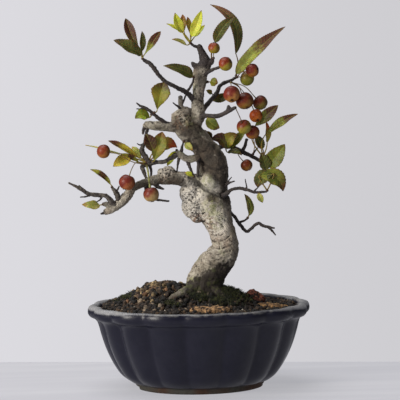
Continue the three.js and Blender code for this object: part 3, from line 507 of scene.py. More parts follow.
def bark(n):
    """Pale grey bark with dark pits, brown and lichen patches; young twigs are dark brown."""
    place = n.object_place()
    young = n.attribute("young")
    ragged = n.times(n.noise(place, 230.0, 4.0, 0.65), 0.5)
    grime_and_shade = n.ramp(n.plus(n.attribute("grime_and_shade"), ragged), 0.3, 1.0)
    old = mottled(n, place, 110.0, "#bdb5a5", "#867d6d")
    tan = n.ramp(n.noise(place, 42.0, 3.0), 0.5, 0.66, 0.0, 0.55)
    base = n.blend(tan, old, "#96806a")
    lichen = n.ramp(n.noise(place, 75.0, 4.0), 0.56, 0.68, 0.0, 0.5)
    base = n.blend(lichen, base, "#9a9c78")
    # painted light: these pale patches also brighten the lit faces of the burr and trunk
    base = n.blend(n.times(n.attribute("bleach_and_light"), 0.9), base, "#ece6d9")
    dark_bark_and_shade = mottled(n, place, 150.0, "#4a3e31", "#241c14")
    # painted shade: this dark tone also darkens the bark under the knob and limbs and on its shaded side
    base = n.blend(n.times(grime_and_shade, 0.92), base, dark_bark_and_shade)
    base = n.blend(n.times(n.attribute("stain"), 0.8), base, "#74482a")
    flat = n.stretched(place, (1.0, 1.0, 1.7))
    fleck = spotted(n, flat, 360.0, 0.3, 0.003)
    base = n.blend(n.times(fleck, 0.75), base, "#2f2820")
    hole = n.ramp(n.cells(flat, 310.0), 0.32, 0.21)
    dense = n.ramp(n.noise(place, 190.0, 1.0), 0.62, 0.4)
    hole = n.times(hole, n.times(dense, n.ramp(n.attribute("scar"), 0.1, 0.75)))
    base = n.blend(n.times(hole, 0.95), base, "#1d1610")
    salt = n.ramp(n.noise(place, 760.0, 4.0, 0.7), 0.36, 0.62)
    base = n.blend(0.42, base, n.blend(salt, "#85796a", "#ffffff"), "MULTIPLY")
    green = n.times(n.attribute("lichen"), n.ramp(n.noise(place, 260.0, 3.0), 0.4, 0.58))
    base = n.blend(n.times(green, 0.6), base, "#8d9058")
    crack = n.noise(n.stretched(place, (1.0, 1.0, 2.6)), 420.0, 3.0, 0.7)
    base = n.blend(n.ramp(crack, 0.61, 0.7, 0.0, 0.45), base, "#4b4238")
    twig = mottled(n, place, 200.0, "#362c28", "#1b1415")
    lenticel = spotted(n, place, 900.0, 0.3, 0.001)
    twigs = n.blend(n.times(lenticel, 0.6), twig, "#8c8074")
    base = n.blend(young, base, twigs)
    # dark pits, and painted shade in the creases of the folds
    base = n.blend(n.times(n.attribute("pit_and_crease_shade"), 0.9), base, "#1f1812")
    mossy = n.ramp(n.noise(place, 170.0, 4.0), 0.5, 0.64)
    base = n.blend(n.attribute("wet"), base, n.blend(mossy, "#241c15", "#3a3b1c"))
    grain = n.noise(place, 1300.0, 5.0, 0.65)
    marks = n.math("MAXIMUM", fleck, hole)
    grain = n.plus(grain, n.times(n.noise(flat, 330.0, 3.0), 1.4))
    height = n.math("SUBTRACT", n.times(grain, 0.75), marks)
    rough = n.math("SUBTRACT", 0.86, n.times(young, 0.2))
    return {"Base Color": base, "Roughness": rough, "Normal": n.bump(height, 0.8, 0.0011)}


def blade(n):
    """A leaf: its own tint, with paler veins, a fine net between them and browned specks."""
    tint = n.attribute("tint", "Color")
    lengthwise = n.attribute("lengthwise")
    sideways = n.math("ABSOLUTE", n.attribute("sideways"))
    slanted = n.math("SUBTRACT", lengthwise, n.times(sideways, 1.6))
    branch = n.ramp(n.math("PINGPONG", slanted, 0.5), 0.02, 0.1, 0.75, 0.0)
    midrib = n.ramp(n.math("ABSOLUTE", n.attribute("rib")), 0.15, 0.5, 1.0, 0.0)
    net = n.times(n.math("MAXIMUM", branch, midrib), n.attribute("blade"))
    brown = n.attribute("burnt")
    place = n.object_place()
    base = n.blend(0.5, tint, mottled(n, place, 110.0, "#ffffff", "#a7a08a"), "MULTIPLY")
    base = n.blend(n.times(net, 0.22), base, "#b4b04a")
    speck = spotted(n, place, 480.0, 0.3, 0.002)
    base = n.blend(n.times(speck, 0.22), base, "#5a3417")
    base = n.blend(brown, base, n.blend(n.noise(place, 300.0), "#2a1a14", "#4c3020"))
    fine = n.cells(place, 1100.0, "DISTANCE_TO_EDGE")
    height = n.math("SUBTRACT", n.times(n.ramp(fine, 0.0, 0.18), 0.5), n.times(net, 0.8))
    rough = n.plus(0.42, n.times(brown, 0.25))
    return {"Base Color": base, "Roughness": rough, "Normal": n.bump(height, 0.3, 0.0003)}


def fruit_skin(n):
    """Waxy skin in each place's own tint, with small pale dots, and the dry husk of the calyx."""
    place = n.object_place()
    tint = n.attribute("tint", "Color")
    base = n.blend(0.5, tint, mottled(n, place, 320.0, "#ffffff", "#b08c78"), "MULTIPLY")
    dots = spotted(n, place, 850.0, 0.2, 0.0)
    base = n.blend(n.times(dots, 0.45), base, "#d9a060")
    husk = n.attribute("husk")
    base = n.blend(husk, base, "#3a261a")
    rough = n.plus(0.42, n.times(husk, 0.45))
    return {"Base Color": base, "Roughness": rough, "Normal": n.bump(n.noise(place, 700.0), 0.12, 0.0003)}


def flake(n):
    """Dry bark flakes: darker between fibres along the length, with pale and dark patches."""
    place = n.object_place()
    tint = n.attribute("tint", "Color")
    fibre = n.noise(n.stretched(place, (60.0, 420.0, 420.0)), 3.0, 4.0)
    base = n.blend(n.ramp(fibre, 0.35, 0.7), n.blend(0.75, tint, "#2e1c10"), tint)
    pale = n.ramp(n.noise(place, 420.0, 3.0), 0.56, 0.72, 0.0, 0.6)
    base = n.blend(pale, base, "#c99a6a")
    base = n.blend(n.ramp(n.noise(place, 330.0, 3.0), 0.52, 0.42), base, "#2a1a10")
    return {"Base Color": base, "Normal": n.bump(n.plus(fibre, n.noise(place, 900.0)), 0.8, 0.0008)}


def studio_floor(n):
    """A pale painted board with faint streaks along it."""
    place = n.object_place()
    streak = n.noise(n.stretched(place, (0.6, 9.0, 1.0)), 4.0, 3.0)
    share = n.ramp(streak, 0.35, 0.7)
    return {
        "Base Color": n.blend(share, "#747377", "#7d7c80"),
        "Emission Color": n.blend(share, "#a8a8ad", "#acacb0"),
        "Roughness": n.ramp(streak, 0.3, 0.7, 0.7, 0.8),
    }


GLAZE = make_material("glaze", glaze, specular_ior_level=0.25, coat_weight=0.06, coat_roughness=0.28)
SOIL = make_material(
    "soil_ground", plain(130.0, "#1b130c", "#33241a", (700.0, 5.0, 0.9, 0.0012)), roughness=0.95
)
GRANULES = make_material(
    "soil_granules", plain(260.0, "#ffffff", "#6e645c", (1500.0, 3.0, 0.6, 0.0004), "tone"),
    roughness=0.85,
)
BARK = make_material("bark", bark)
BLADE = make_material(
    "leaf_blade", blade, specular_ior_level=0.22, subsurface_weight=0.12, subsurface_scale=0.002
)
FRUIT = make_material(
    "fruit_skin", fruit_skin, specular_ior_level=0.25, coat_weight=0.05, coat_roughness=0.3
)
STALK = make_material(
    "stalk_skin", plain(300.0, "#ffffff", "#8a7a5c", (1600.0, 3.0, 0.4, 0.0002), "tint"),
    roughness=0.55,
)
FLAKE = make_material("bark_flake", flake, roughness=0.9)
STONE = make_material(
    "pebble", plain(320.0, "#d3cdc0", "#9b9384", (1200.0, 3.0, 0.4, 0.0003)), roughness=0.7
)
MOSS = make_material("moss", plain(220.0, "#ffffff", "#5d6a4a", own="tone"), roughness=0.8)
NETTING = make_material(
    "drainage_netting", plain(300.0, "#191919", "#3b332a", (900.0, 3.0, 0.3, 0.0002)), roughness=0.6
)
WIRE = make_material(
    "clip_wire", plain(200.0, "#a9a59b", "#77716a", (1500.0, 3.0, 0.2, 0.0001)), metallic=0.9,
    roughness=0.45,
)
FLOOR = make_material("studio_floor", studio_floor, emission_strength=1.0, specular_ior_level=0.12)


# ---- Pot ----

# The wall's section from the middle of its underside, up the outside, over the lip and down the
# inside: [half width, height, how deep the creases are cut]. Lists are joined by sharp edges.
POT_SECTION = [
    [[0, 4, 0], [30, 4, 0], [49.5, 4, 0]],
    [[49.5, 4, 0], [49.9, 1.2, 0], [50.8, 0, 0], [57.2, 0, 0], [57.9, 0.8, 0], [58.5, 5.5, 0]],
    [
        [58.5, 5.5, 0], [62.5, 5.9, 0.03], [66.5, 8.2, 0.04], [72, 13, 0.045], [79, 24, 0.05],
        [84.5, 36, 0.05], [88.7, 49, 0.05], [90.9, 57.5, 0.05], [92.4, 61.2, 0.048],
        [94.8, 63.6, 0.044], [98.2, 65.2, 0.041],
        [100.3, 68, 0.04], [100.4, 71.6, 0.04], [99.4, 74.2, 0.04], [97.2, 75.4, 0.04],
        [94.4, 75.5, 0.04], [92.3, 74.4, 0.04], [91.2, 71.5, 0.04], [89, 65, 0.04],
        [86, 57, 0.04], [80.5, 41, 0.04], [73.5, 27, 0.04], [64, 14, 0.04],
    ],
    [[64, 14, 0.04], [56, 10, 0.04], [40, 10, 0.02], [0, 10, 0]],
]
STEPS_PER_LOBE = 18
LOBE_SHARPNESS = 0.9
DRAIN_RADIUS = 7
DRAIN_OFFSET = 28
DRAIN_CUTTER = {"middle": 7, "height": 20}
FOOT_ARCH = {"offset": 55, "length": 30, "width": 26, "height": 2.6}


def lobed(half_width, angles, crease):
    """How far a ring with that half width reaches at each angle, between its creases."""
    bulge = np.abs(np.cos(angles * POT_LOBES / 2))
    return half_width * (1 - crease * (1 - bulge))


def lobe_tree():
    """Geometry nodes that turn rings of revolution into the oval's lobes."""
    inputs = dict.fromkeys(("Lobes", "Depth ratio", "Sharpness"), "NodeSocketFloat")
    n, given, out, sockets = geometry_tree("lobed oval", inputs)
    place = n.add("ShaderNodeSeparateXYZ", {0: n.add("GeometryNodeInputPosition").outputs[0]}).outputs
    angle = n.math("ARCTAN2", place["Y"], place["X"])
    half_lobes = n.times(given["Lobes"], 0.5)
    wave = n.math("ABSOLUTE", n.math("COSINE", n.times(angle, half_lobes)))
    bulge = n.math("POWER", wave, given["Sharpness"])
    crease = n.add("GeometryNodeInputNamedAttribute", {"Name": "crease"}, data_type="FLOAT").outputs[0]
    swell = n.math("SUBTRACT", 1.0, n.times(crease, n.math("SUBTRACT", 1.0, bulge)))
    deep = n.times(swell, given["Depth ratio"])
    parts = {
        "X": n.times(place["X"], swell),
        "Y": n.times(place["Y"], deep),
        "Z": place["Z"],
    }
    moved = n.add("ShaderNodeCombineXYZ", parts).outputs[0]
    shaped = n.add("GeometryNodeSetPosition", {"Geometry": given["Geometry"], "Position": moved})
    real = n.add("GeometryNodeRealizeInstances", {"Geometry": shaped.outputs[0]})
    done = n.add("GeometryNodeSetMaterial", {"Geometry": real.outputs[0], "Material": GLAZE})
    n.feed(out, 0, done.outputs[0])
    return n.tree, sockets


def cut_mesh(mesh, cutters):
    """The mesh less closed shapes, each given as points and faces in its own millimetres."""
    piece = link_mesh("cut", mesh)
    tools = []
    for points, faces in cutters:
        tool = bpy.data.meshes.new("cutter")
        tool.from_pydata([tuple(p) for p in points], [], faces)
        tools.append(link_mesh("cutter", tool))
        step = piece.modifiers.new("cut", "BOOLEAN")
        step.operation = "DIFFERENCE"
        step.solver = "EXACT"
        step.object = tools[-1]
    mesh = evaluated_mesh(piece)
    for tool in tools:
        bpy.data.objects.remove(tool)
    return mesh


def box_shape(middle, size):
    """A closed box: points and faces."""
    corners = [(x, y, z) for x in (-0.5, 0.5) for y in (-0.5, 0.5) for z in (-0.5, 0.5)]
    points = np.array(middle) + np.array(corners) * np.array(size)
    faces = [(0, 1, 3, 2), (4, 6, 7, 5), (0, 4, 5, 1), (2, 3, 7, 6), (0, 2, 6, 4), (1, 5, 7, 3)]
    return points, faces


def drum_shape(middle, radius, height, sides=48):
    """A closed upright drum with slightly pointed ends: points and faces."""
    rows = np.array([[*middle[:2], middle[2] + z, radius] for z in (-height / 2, height / 2)])
    return tube(rows, sides)


def make_pot():
    """The lobed pot: rings of revolution, shaped by geometry nodes, with its drainage holes cut."""
    section = []
    for part in POT_SECTION:
        rows = smooth_route(part, 1.6) if len(part) > 4 else np.array(part, float)
        section.extend(rows[1:] if section else rows)
    section = np.array(section)[1:-1]
    around = POT_LOBES * STEPS_PER_LOBE
    angles = circle_angles(around, 0.5)
    rings = [
        np.column_stack([width * np.cos(angles), width * np.sin(angles), np.full(around, height)])
        for width, height, _ in section
    ]
    points = np.vstack([*rings, [[0, 0, section[0][1]]], [[0, 0, section[-1][1]]]])
    mesh = bpy.data.meshes.new("pot_rings")
    mesh.from_pydata(points.tolist(), [], ring_faces(len(rings), around))
    dress_mesh(mesh, values={"crease": np.concatenate([np.repeat(section[:, 2], around), [0, 0]])})
    tree, sockets = lobe_tree()
    settings = {
        sockets["Lobes"]: float(POT_LOBES),
        sockets["Depth ratio"]: POT_DEPTH_RATIO,
        sockets["Sharpness"]: LOBE_SHARPNESS,
    }
    mesh = run_tree(link_mesh("pot_rings", mesh), tree, settings)
    cutters = []
    for side in (-1, 1):
        middle = (side * DRAIN_OFFSET, 0, DRAIN_CUTTER["middle"])
        cutters.append(drum_shape(middle, DRAIN_RADIUS, DRAIN_CUTTER["height"]))
        middle = (side * FOOT_ARCH["offset"], 0, 0)
        size = (FOOT_ARCH["length"], FOOT_ARCH["width"], 2 * FOOT_ARCH["height"])
        cutters.append(box_shape(middle, size))
    mesh = cut_mesh(mesh, cutters)
    points = mesh_points(mesh)
    dress_mesh(mesh, values=glaze_wear_and_highlights(points))
    move_mesh(mesh, points, GLAZE)
    return finish_piece(link_mesh("lobed_pot", mesh), "glaze", "pot")


def glaze_wear_and_highlights(points):
    """The glaze's wear, painted lip reflection and crease highlights at each point of the pot, and how bare
    its foot's clay.
    """
    angle = np.arctan2(points[:, 1] / POT_DEPTH_RATIO, points[:, 0])
    ridge = 1 - np.abs(np.cos(angle * POT_LOBES / 2))
    height = points[:, 2]
    reach = np.hypot(points[:, 0], points[:, 1] / POT_DEPTH_RATIO)
    # glaze break and painted reflection: the lip is paled, down more of its shoulder towards its ends
    ends = smoothstep(50, 94, np.abs(points[:, 0] - 4))
    lip = smoothstep(72.8 - 3.6 * ends, 75.3 - 1.2 * ends, height) * smoothstep(88, 93, reach)
    # painted highlights: thin pale lines along the creases, stronger towards the right
    crease_highlight = np.where(height < 72, smoothstep(0.86, 0.97, ridge) * smoothstep(8, 30, height), 0)
    crease = 0.62 + 0.18 * smoothstep(45, 80, points[:, 0])
    edge = np.maximum((0.68 + 0.45 * ends) * lip, crease * crease_highlight * (reach > 60))
    bare = 1 - smoothstep(4.7, 6.3, height + 0.5 * noise_at(points, 9))
    return {"edge": edge, "bare": bare}


# ---- Soil ----

SOIL_EDGE = 72.3
# The mound's rises: [right, back, height, spread to the left, to the right, to front and back]
SOIL_RISES = [
    [-37, 4, 17, 27, 19, 30],
    [2, 0, 12.5, 21, 20, 24],
    [30, -2, 8.5, 13, 15, 20],
]
# The pot's inner wall under the soil: [half width, height, how deep the creases are cut]
SOIL_WALL = [[40, 10.4, 0.02], [63, 14.2, 0.04], [73.5, 27.3, 0.04], [86, 57, 0.04]]
WALL_GAP = 0.5  # how far the soil stays off the wall
SOIL_STEPS_PER_LOBE = 16
SOIL_HALF_WIDTH = 91
SOIL_RIGHT_DIP = 2.6
SOIL_SHARES = np.concatenate([np.linspace(1, 0.9, 5), np.linspace(0.88, 0.02, 56)])


def soil_height(right, back):
    """The level of the soil at places in the tree's frame."""
    right, back = np.asarray(right, float), np.asarray(back, float)
    edge = np.hypot(right, back / POT_DEPTH_RATIO) / SOIL_HALF_WIDTH
    inside = np.maximum(0, 1 - edge ** 5)
    rise = np.zeros_like(right)
    for x, y, height, left_spread, right_spread, back_spread in SOIL_RISES:
        across = np.where(right < x, left_spread, right_spread)
        rise += height * np.exp(-((right - x) / across) ** 2 / 2 - ((back - y) / back_spread) ** 2 / 2)
    return SOIL_EDGE + inside * (rise - SOIL_RIGHT_DIP * smoothstep(35, 75, right))


def make_soil():
    """The mound, with its rough top, down to the pot's floor."""
    around = POT_LOBES * SOIL_STEPS_PER_LOBE
    angles = circle_angles(around, 0.5)

    def wall_ring(half_width, height, crease):
        reach = lobed(half_width - WALL_GAP, angles, crease)
        flat = np.column_stack([reach * np.cos(angles), POT_DEPTH_RATIO * reach * np.sin(angles)])
        return np.column_stack([flat, np.full(around, float(height))])

    rings = [wall_ring(*row) for row in SOIL_WALL]
    rim = wall_ring(91.2, SOIL_EDGE, 0.04)
    turn = -TREE_TURN
    for share in SOIL_SHARES:
        x, y = rim[:, 0] * share, rim[:, 1] * share
        right = math.cos(turn) * x - math.sin(turn) * y
        back = math.sin(turn) * x + math.cos(turn) * y
        level = soil_height(right, back)
        spots = np.column_stack([x, y, level])
        rough = 0.9 * noise_at(spots, 6.5) + 0.55 * noise_at(spots, 2.2, 9.1)
        rings.append(np.column_stack([x, y, level + rough * min(1, 12 * (1.02 - share))]))
    top = rings[-1].mean(axis=0)
    points = np.vstack([*rings, [[0, 0, SOIL_WALL[0][1]]], [top]])
    soil = make_piece("soil_mound", points, ring_faces(len(rings), around), SOIL)
    return finish_piece(soil, "soil", "soil")


# ---- Wood ----

# The wood's routes, the thick end first: [right, back, up, radius]. Those under "limbs" grow into one
# skin; those under "twigs" are too thin for it and are sunk into it.
LIMBS = {
    "trunk": [
        [3.5, 0, 62.5, 12], [3.5, 0, 76, 15.3], [4, 0, 87.5, 16.6], [6.5, 0, 96.5, 16],
        [11, -2, 105, 15.3], [18.5, -4, 115, 14], [24, -4, 123, 12.2], [24, -3, 132.5, 11.7],
        [20.5, -1, 143, 12.2], [16.5, 1, 154, 14.4], [11, 3, 164.5, 17.1], [9.5, 4, 175.5, 16.6],
        [13.5, 4, 186, 14.4], [15, 3, 197, 13], [12.5, 2, 207, 11.7], [5.5, 1, 217, 10.3],
        [-1.5, 0, 225.5, 10.3], [-8.5, 0, 232.5, 10.8], [-12, 0, 240, 9.4],
    ],
    "leader": [
        [-7.5, 2, 233.5, 8.1], [0.5, 1, 242.5, 6.8], [1.5, 2, 258.5, 5.2], [3, 3, 272, 5.6],
        [4.5, 3, 283, 6.8], [8.5, 2, 292, 5.6], [6.5, 1, 299, 3.6], [3, 0, 307.2, 2.5],
    ],
    "stub": [[-13, -1, 248, 2.9], [-14, -3, 255.5, 2.2], [-14, -4, 262, 2.3]],
    "stump": [
        [-15, -1, 234.5, 5.4], [-25.5, -5, 235, 4.5], [-32.5, -8, 236, 4.3], [-39, -10, 236, 4.3],
        [-44, -11, 237, 3.6], [-46.5, -11, 234.5, 2.2],
    ],
    "bridge": [
        [6.5, 0, 212.5, 4.5], [0.5, -5, 208, 3.6], [-5.5, -8, 206, 3.3], [-11.5, -10, 207.5, 3.2],
        [-16.5, -11, 211, 3.4], [-19, -11.7, 210, 2],
    ],
    "bridge_root": [[2, -5, 208.5, 2.2], [1, -9, 199.5, 1.5], [0.5, -10, 191, 1.4]],
    "limb": [
        [6, 0, 183, 8.1], [-6.5, -6, 186.5, 7.2], [-17, -11, 189, 6.3], [-26, -14, 189.5, 5.7],
        [-33, -16, 189, 5], [-40.5, -18, 187.5, 4.2], [-46, -19, 186.5, 3.6], [-51, -20, 184.5, 3.4],
        [-57.5, -21, 181, 3.7], [-62, -22, 175, 4.1], [-68, -23, 169.5, 4.5], [-74, -24, 165.5, 4],
        [-79.5, -25, 162, 3.3], [-82.5, -25, 160.5, 2.3],
    ],
    "limb_nub": [[-37.5, -19, 186.5, 3.1], [-36, -20, 183, 2.3], [-33, -21, 181.5, 1.6]],
    "limb_hook": [[-44, -20, 185, 2], [-45.5, -17, 180.5, 2], [-43.5, -13, 175, 1.6]],
    "limb_stub": [[-64.5, -22, 173, 3.1], [-65, -23, 177, 2.6]],
    "limb_mass": [[-76, -25, 165.5, 2.9], [-81, -26, 168, 2.5], [-84, -27, 168, 1.6]],
    "rear": [
        [13.5, 5, 209.5, 3.6], [20, 12, 215, 2.5], [27.5, 15, 216.5, 2.2], [34.5, 17, 214, 2.2],
        [43.5, 19, 209.5, 2.1], [49.5, 21, 206.5, 1.9], [55, 22, 203.5, 1.8], [60, 22, 200, 1.5],
    ],
    "front": [
        [2.5, -3, 242.5, 3.6], [7, -8, 244.5, 2.3], [14.5, -12, 244, 2.1], [20, -14, 244.5, 2.1],
        [26, -16, 247, 2], [30.5, -18, 249.5, 1.8], [35, -19, 252, 1.4],
    ],
    "front_lump": [[27, -16, 247.5, 1.7], [28.5, -17, 251, 2], [28.5, -18, 253.5, 1.3]],
    "high": [
        [2.5, 4, 247, 3.6], [7, 7, 250.5, 2.5], [11, 9, 255.5, 2.2], [15.5, 11, 260.5, 2],
        [19.5, 13, 265.5, 1.9], [21.5, 14, 270.5, 1.8], [25.5, 14.5, 273.5, 1.6],
    ],
    "crown_spur": [[9.5, 1, 291, 3.6], [14, -1, 292, 2.6], [15.5, -2, 294.5, 1.4]],
    "crown_stub": [[6.5, 1, 286.5, 3.6], [-0.5, -1, 289, 2.7], [-3.5, -2, 292, 1.3]],
    "root_left": [
        [0, -3, 92.5, 9], [-8, -11, 87.5, 6], [-16, -19, 85.2, 4.7], [-24, -25, 82.3, 3.7],
        [-31, -30, 77, 1.8],
    ],
    "root_right": [[8.5, -3, 92.5, 9], [16, -12, 86.5, 5.4], [24, -20, 80, 3.1], [29, -26, 74.5, 1.4]],
    "root_back": [[7.5, 4, 92.5, 8.1], [14.5, 14, 87.5, 5.4], [25, 26, 84, 3.2], [36, 36, 77, 1.6]],
    "root_rear": [[0, 4, 91.5, 8.1], [-8, 16, 87.5, 5.4], [-16.5, 28, 84, 3.4], [-25, 40, 78, 1.6]],
    "back_twig": [
        [13.5, 6, 182.5, 5.4], [14.5, 22, 187.5, 2.5], [15.5, 34, 195, 1.9], [16.5, 44, 202, 1.4],
    ],
    "back_high": [[2.5, 2, 257, 4.5], [2.5, 16, 264, 2.1], [3.5, 26, 270, 1.6]],
    "leader_spur": [[6.5, 3, 274.5, 2.7], [10, 3, 274.5, 1.2]],
}
TWIGS = {
    "rise": [
        [-1, 1, 257.5, 2.4], [-5, 0, 262.5, 2], [-9, -3, 265.5, 1.7], [-19, -7, 271, 1.5],
        [-27, -9, 275, 1.4], [-33, -11, 281.5, 1.4], [-40, -13, 291, 1.6], [-46.5, -14, 295, 1.2],
    ],
    "rise_side": [[-9, -3, 265.5, 1.4], [-5.5, -5, 269.5, 1.1], [-2.5, -7, 275, 0.9], [-2, -8, 279.5, 0.8]],
    "stub_link": [[-14, -2.5, 252.5, 1.1], [-11.5, -3, 257, 0.9], [-9, -3, 263, 0.8]],
    "thorn_knob": [[-13.5, -3, 251, 1.6], [-17, -5, 253.5, 0.9], [-21, -6, 256.5, 0.5]],
    "feeler": [
        [-19.5, -3, 234.5, 2.7], [-23.5, -6, 236.5, 2], [-31.5, -10, 241.5, 1.7],
        [-39, -13, 247.5, 1.5], [-45, -15, 252.5, 1.3], [-50, -16, 254.5, 1], [-53, -17, 257, 0.6],
    ],
    "feeler_fork": [[-46, -15, 253, 1], [-49.5, -15, 251.5, 0.7], [-53, -15.5, 251.5, 0.4]],
    "stump_hook": [[-46, -11, 235, 2], [-47.5, -11, 232, 1.3], [-48, -11, 229, 0.9]],
    "drop": [
        [-43.5, -11, 235.5, 1.6], [-45, -12, 229, 1.1], [-46.5, -14, 222, 1], [-49, -15, 214.5, 2],
        [-46, -16, 209, 2], [-43.5, -16, 203.5, 2.7],
    ],
    "drop_side": [[-46.5, -14, 221, 0.9], [-50, -15, 219.5, 0.7], [-53, -15.5, 221, 0.4]],
    "bridge_end": [
        [-18.5, -11.5, 210.2, 2], [-20.5, -12.2, 208.5, 1.7], [-24.5, -13, 207, 1.4],
        [-29, -14, 204.5, 1.4], [-35.5, -15, 204, 1.4], [-43.5, -16, 203.5, 2.3],
    ],
    "bridge_up": [[-14, -11, 212.5, 1.6], [-13, -11, 217.5, 1.1], [-12, -11, 221.5, 0.7]],
    "bridge_down": [[-15.5, -11, 209, 1.6], [-17, -12, 202, 1], [-18, -13, 195.5, 0.7]],
    "bridge_low": [[-9, -9, 206, 1.8], [-5.5, -10, 196, 1.2], [-3, -10, 190.5, 1]],
    "spray_low": [
        [-43.5, -16, 202.5, 1.6], [-48.5, -17, 201, 1.5], [-47, -18, 194.5, 1.2],
        [-45.5, -18, 190, 0.7],
    ],
    "spray_drop": [[-42.5, -16, 202.5, 1.6], [-41, -15, 196, 1.1], [-42, -17, 186.5, 0.8]],
    "limb_tip": [[-81, -25, 161, 2.2], [-84, -25.5, 160, 1.2], [-86, -26, 159.5, 0.7]],
    "limb_nub_tip": [[-34, -20.7, 182, 1.5], [-31.5, -21.3, 181, 1], [-29.5, -21.5, 180.5, 0.6]],
    "limb_claw": [
        [-44.3, -14.5, 177, 1.7], [-42.5, -11, 172.5, 1.4], [-35.5, -10, 170, 1.1],
        [-25.5, -11, 169, 0.8],
    ],
    "limb_spur": [
        [-69.5, -24, 171.5, 2.2], [-71.5, -25, 177, 1.8], [-73.5, -26, 180, 1.4],
        [-75, -26, 182.5, 0.9],
    ],
    "limb_spur_side": [[-72.5, -25.5, 178.5, 1.2], [-70, -26, 181.5, 0.8], [-69, -26.5, 184, 0.5]],
    "antler": [
        [-74, -25, 167, 2.3], [-77.5, -27, 172, 1.8], [-81, -28, 175.5, 1.4], [-88, -29, 176.5, 1.4],
        [-96.5, -31, 178, 1.3], [-103, -33, 182.5, 1.1], [-113, -35, 188, 0.6],
    ],
    "antler_mid": [[-95.5, -31, 177.5, 1.1], [-99.5, -30, 181, 0.8], [-104.5, -29, 185.5, 0.5]],
    "antler_low": [[-93, -30, 177, 1.1], [-98, -31, 175.5, 0.8], [-103.5, -32, 175, 0.5]],
    "antler_drop": [[-84, -28.5, 176, 1.1], [-86, -29, 172.5, 0.8], [-89.5, -29.5, 170.5, 0.4]],
    "east": [
        [22, -4, 172, 3.2], [26, -9, 174.5, 2], [30, -12, 178, 1.5], [37, -14, 179.5, 1.4],
        [44, -15, 178.5, 1.4], [49, -16, 176.5, 1.3], [56, -16, 176, 1.1], [61.5, -16, 176.5, 0.9],
    ],
    "east_up": [[44, -15, 178, 0.9], [43.5, -16, 183, 0.6], [42.5, -17, 188, 0.4]],
    "east_side": [[50, -16, 176.5, 0.9], [53, -15, 179.5, 0.6], [56, -14, 182.5, 0.4]],
    "east_thorn": [[24, -3, 181, 2], [28, -6, 184, 1.1], [33.5, -8, 185.5, 0.5]],
    "east_thorn_up": [[27, -5.5, 183.5, 0.9], [28.5, -7, 187, 0.6], [30.5, -8, 189.5, 0.4]],
    "south": [
        [20, 2, 166.5, 3.2], [27.5, 4, 163.5, 1.9], [29.5, 5, 157, 1.6], [33.5, 6, 152, 1.5],
        [37.5, 6, 146.5, 1.5], [41, 6, 141.5, 1.5], [44.5, 5.5, 139, 1.4], [47.5, 5, 141, 1.4],
        [51, 4, 144.5, 1.4], [55, 3, 146.5, 1.4], [58, 2.5, 144.5, 1.4], [64, 2, 143, 1.3],
        [69, 1, 142, 0.7],
    ],
    "south_fork": [[64, 2, 142.5, 1.2], [67, 3, 139.5, 0.9], [70, 4, 135.5, 0.5]],
    "south_up": [[36.5, 6, 147.5, 1.2], [41, 5, 148.5, 1], [45, 4, 151, 0.8]],
    "rear_up": [[41.5, 19, 211, 1.8], [44, 19, 216.5, 1.5], [45.5, 18.5, 222, 1.3]],
    "rear_twig": [[50, 21, 206.5, 1.4], [52.5, 20, 210.5, 0.9], [55.5, 19, 214, 0.6]],
    "high_end": [
        [24, 14.3, 272.5, 1.7], [26.5, 14.6, 273.7, 1.6], [30.5, 15, 275, 1.4], [37, 16, 278.5, 1.1],
    ],
    "crown_twig": [[6.5, 0, 281, 2.7], [11, -4, 283, 1.6], [15.5, -6, 285.5, 1.4], [20.5, -7, 287.5, 1.2]],
    "top_shoot": [[4, 0, 305.5, 2], [1, -1, 306, 1.4], [-1.5, -2, 307, 1.2], [-4.5, -3, 309, 1]],
    "back_twig_fork": [[15.5, 33, 194.5, 1.6], [12, 38, 197, 1.3], [9, 42, 199.5, 0.9]],
    "back_high_end": [[3.2, 23, 268, 1.8], [3.6, 28, 271.5, 1.5], [4, 34, 276.5, 1.1]],
    "rear_spur": [[57, 22, 201.5, 2], [59, 21, 203.5, 1.4], [60, 20.5, 205.5, 1]],
}

# Swellings that the skin grows over: [centre, radii]
SWELLINGS = [
    [[-3.5, -3, 163.5], [11.2, 10.8, 11.7]],
    [[-7, -3, 175], [9.3, 9, 9.9]],
    [[-0.5, -3, 153.5], [6.3, 7.2, 5.8]],
    [[21.5, 2, 165.5], [8.4, 9.9, 9.9]],
    [[-13, 0, 241], [9.9, 9.9, 9.9]],
    [[-9.5, -1, 249], [5, 4.5, 4]],
    [[-18.5, -2, 243.5], [4.5, 4.5, 4.5]],
    [[-26, -13, 195.5], [7.2, 5.4, 4.5]],
    [[-32, -15, 195.5], [3.6, 3.6, 3.2]],
    [[11, -5, 186], [8.5, 9.5, 10]],
]
# Where the bark is pitted and stained: [centre, reach, pits, stain]
SCARS = [
    [[-8, -12, 176], 14, 1.0, 0.1],
    [[-3, -12, 162], 13, 1.0, 0.2],
    [[-1, -10, 151], 8, 0.8, 1.0],
    [[-13, -9, 241], 11, 1.0, 0.5],
    [[9, -12, 148], 11, 0.45, 0.8],
    [[13, -12, 137], 9, 0.5, 0.45],
    [[20, -14, 130], 11, 0.3, 0.25],
    [[16, -10, 152], 12, 0.35, 0.1],
    [[-30, -19, 186], 8, 0.6, 0.3],
    [[-28, -17, 196], 9, 0.9, 0],
    [[3, -6, 282], 8, 0.5, 0.1],
    [[0, -5, 262], 13, 0.75, 0],
    [[16, 14, 170], 14, 0.6, 0.2],
    [[-60, -24, 177], 8, 0.5, 0.1],
]
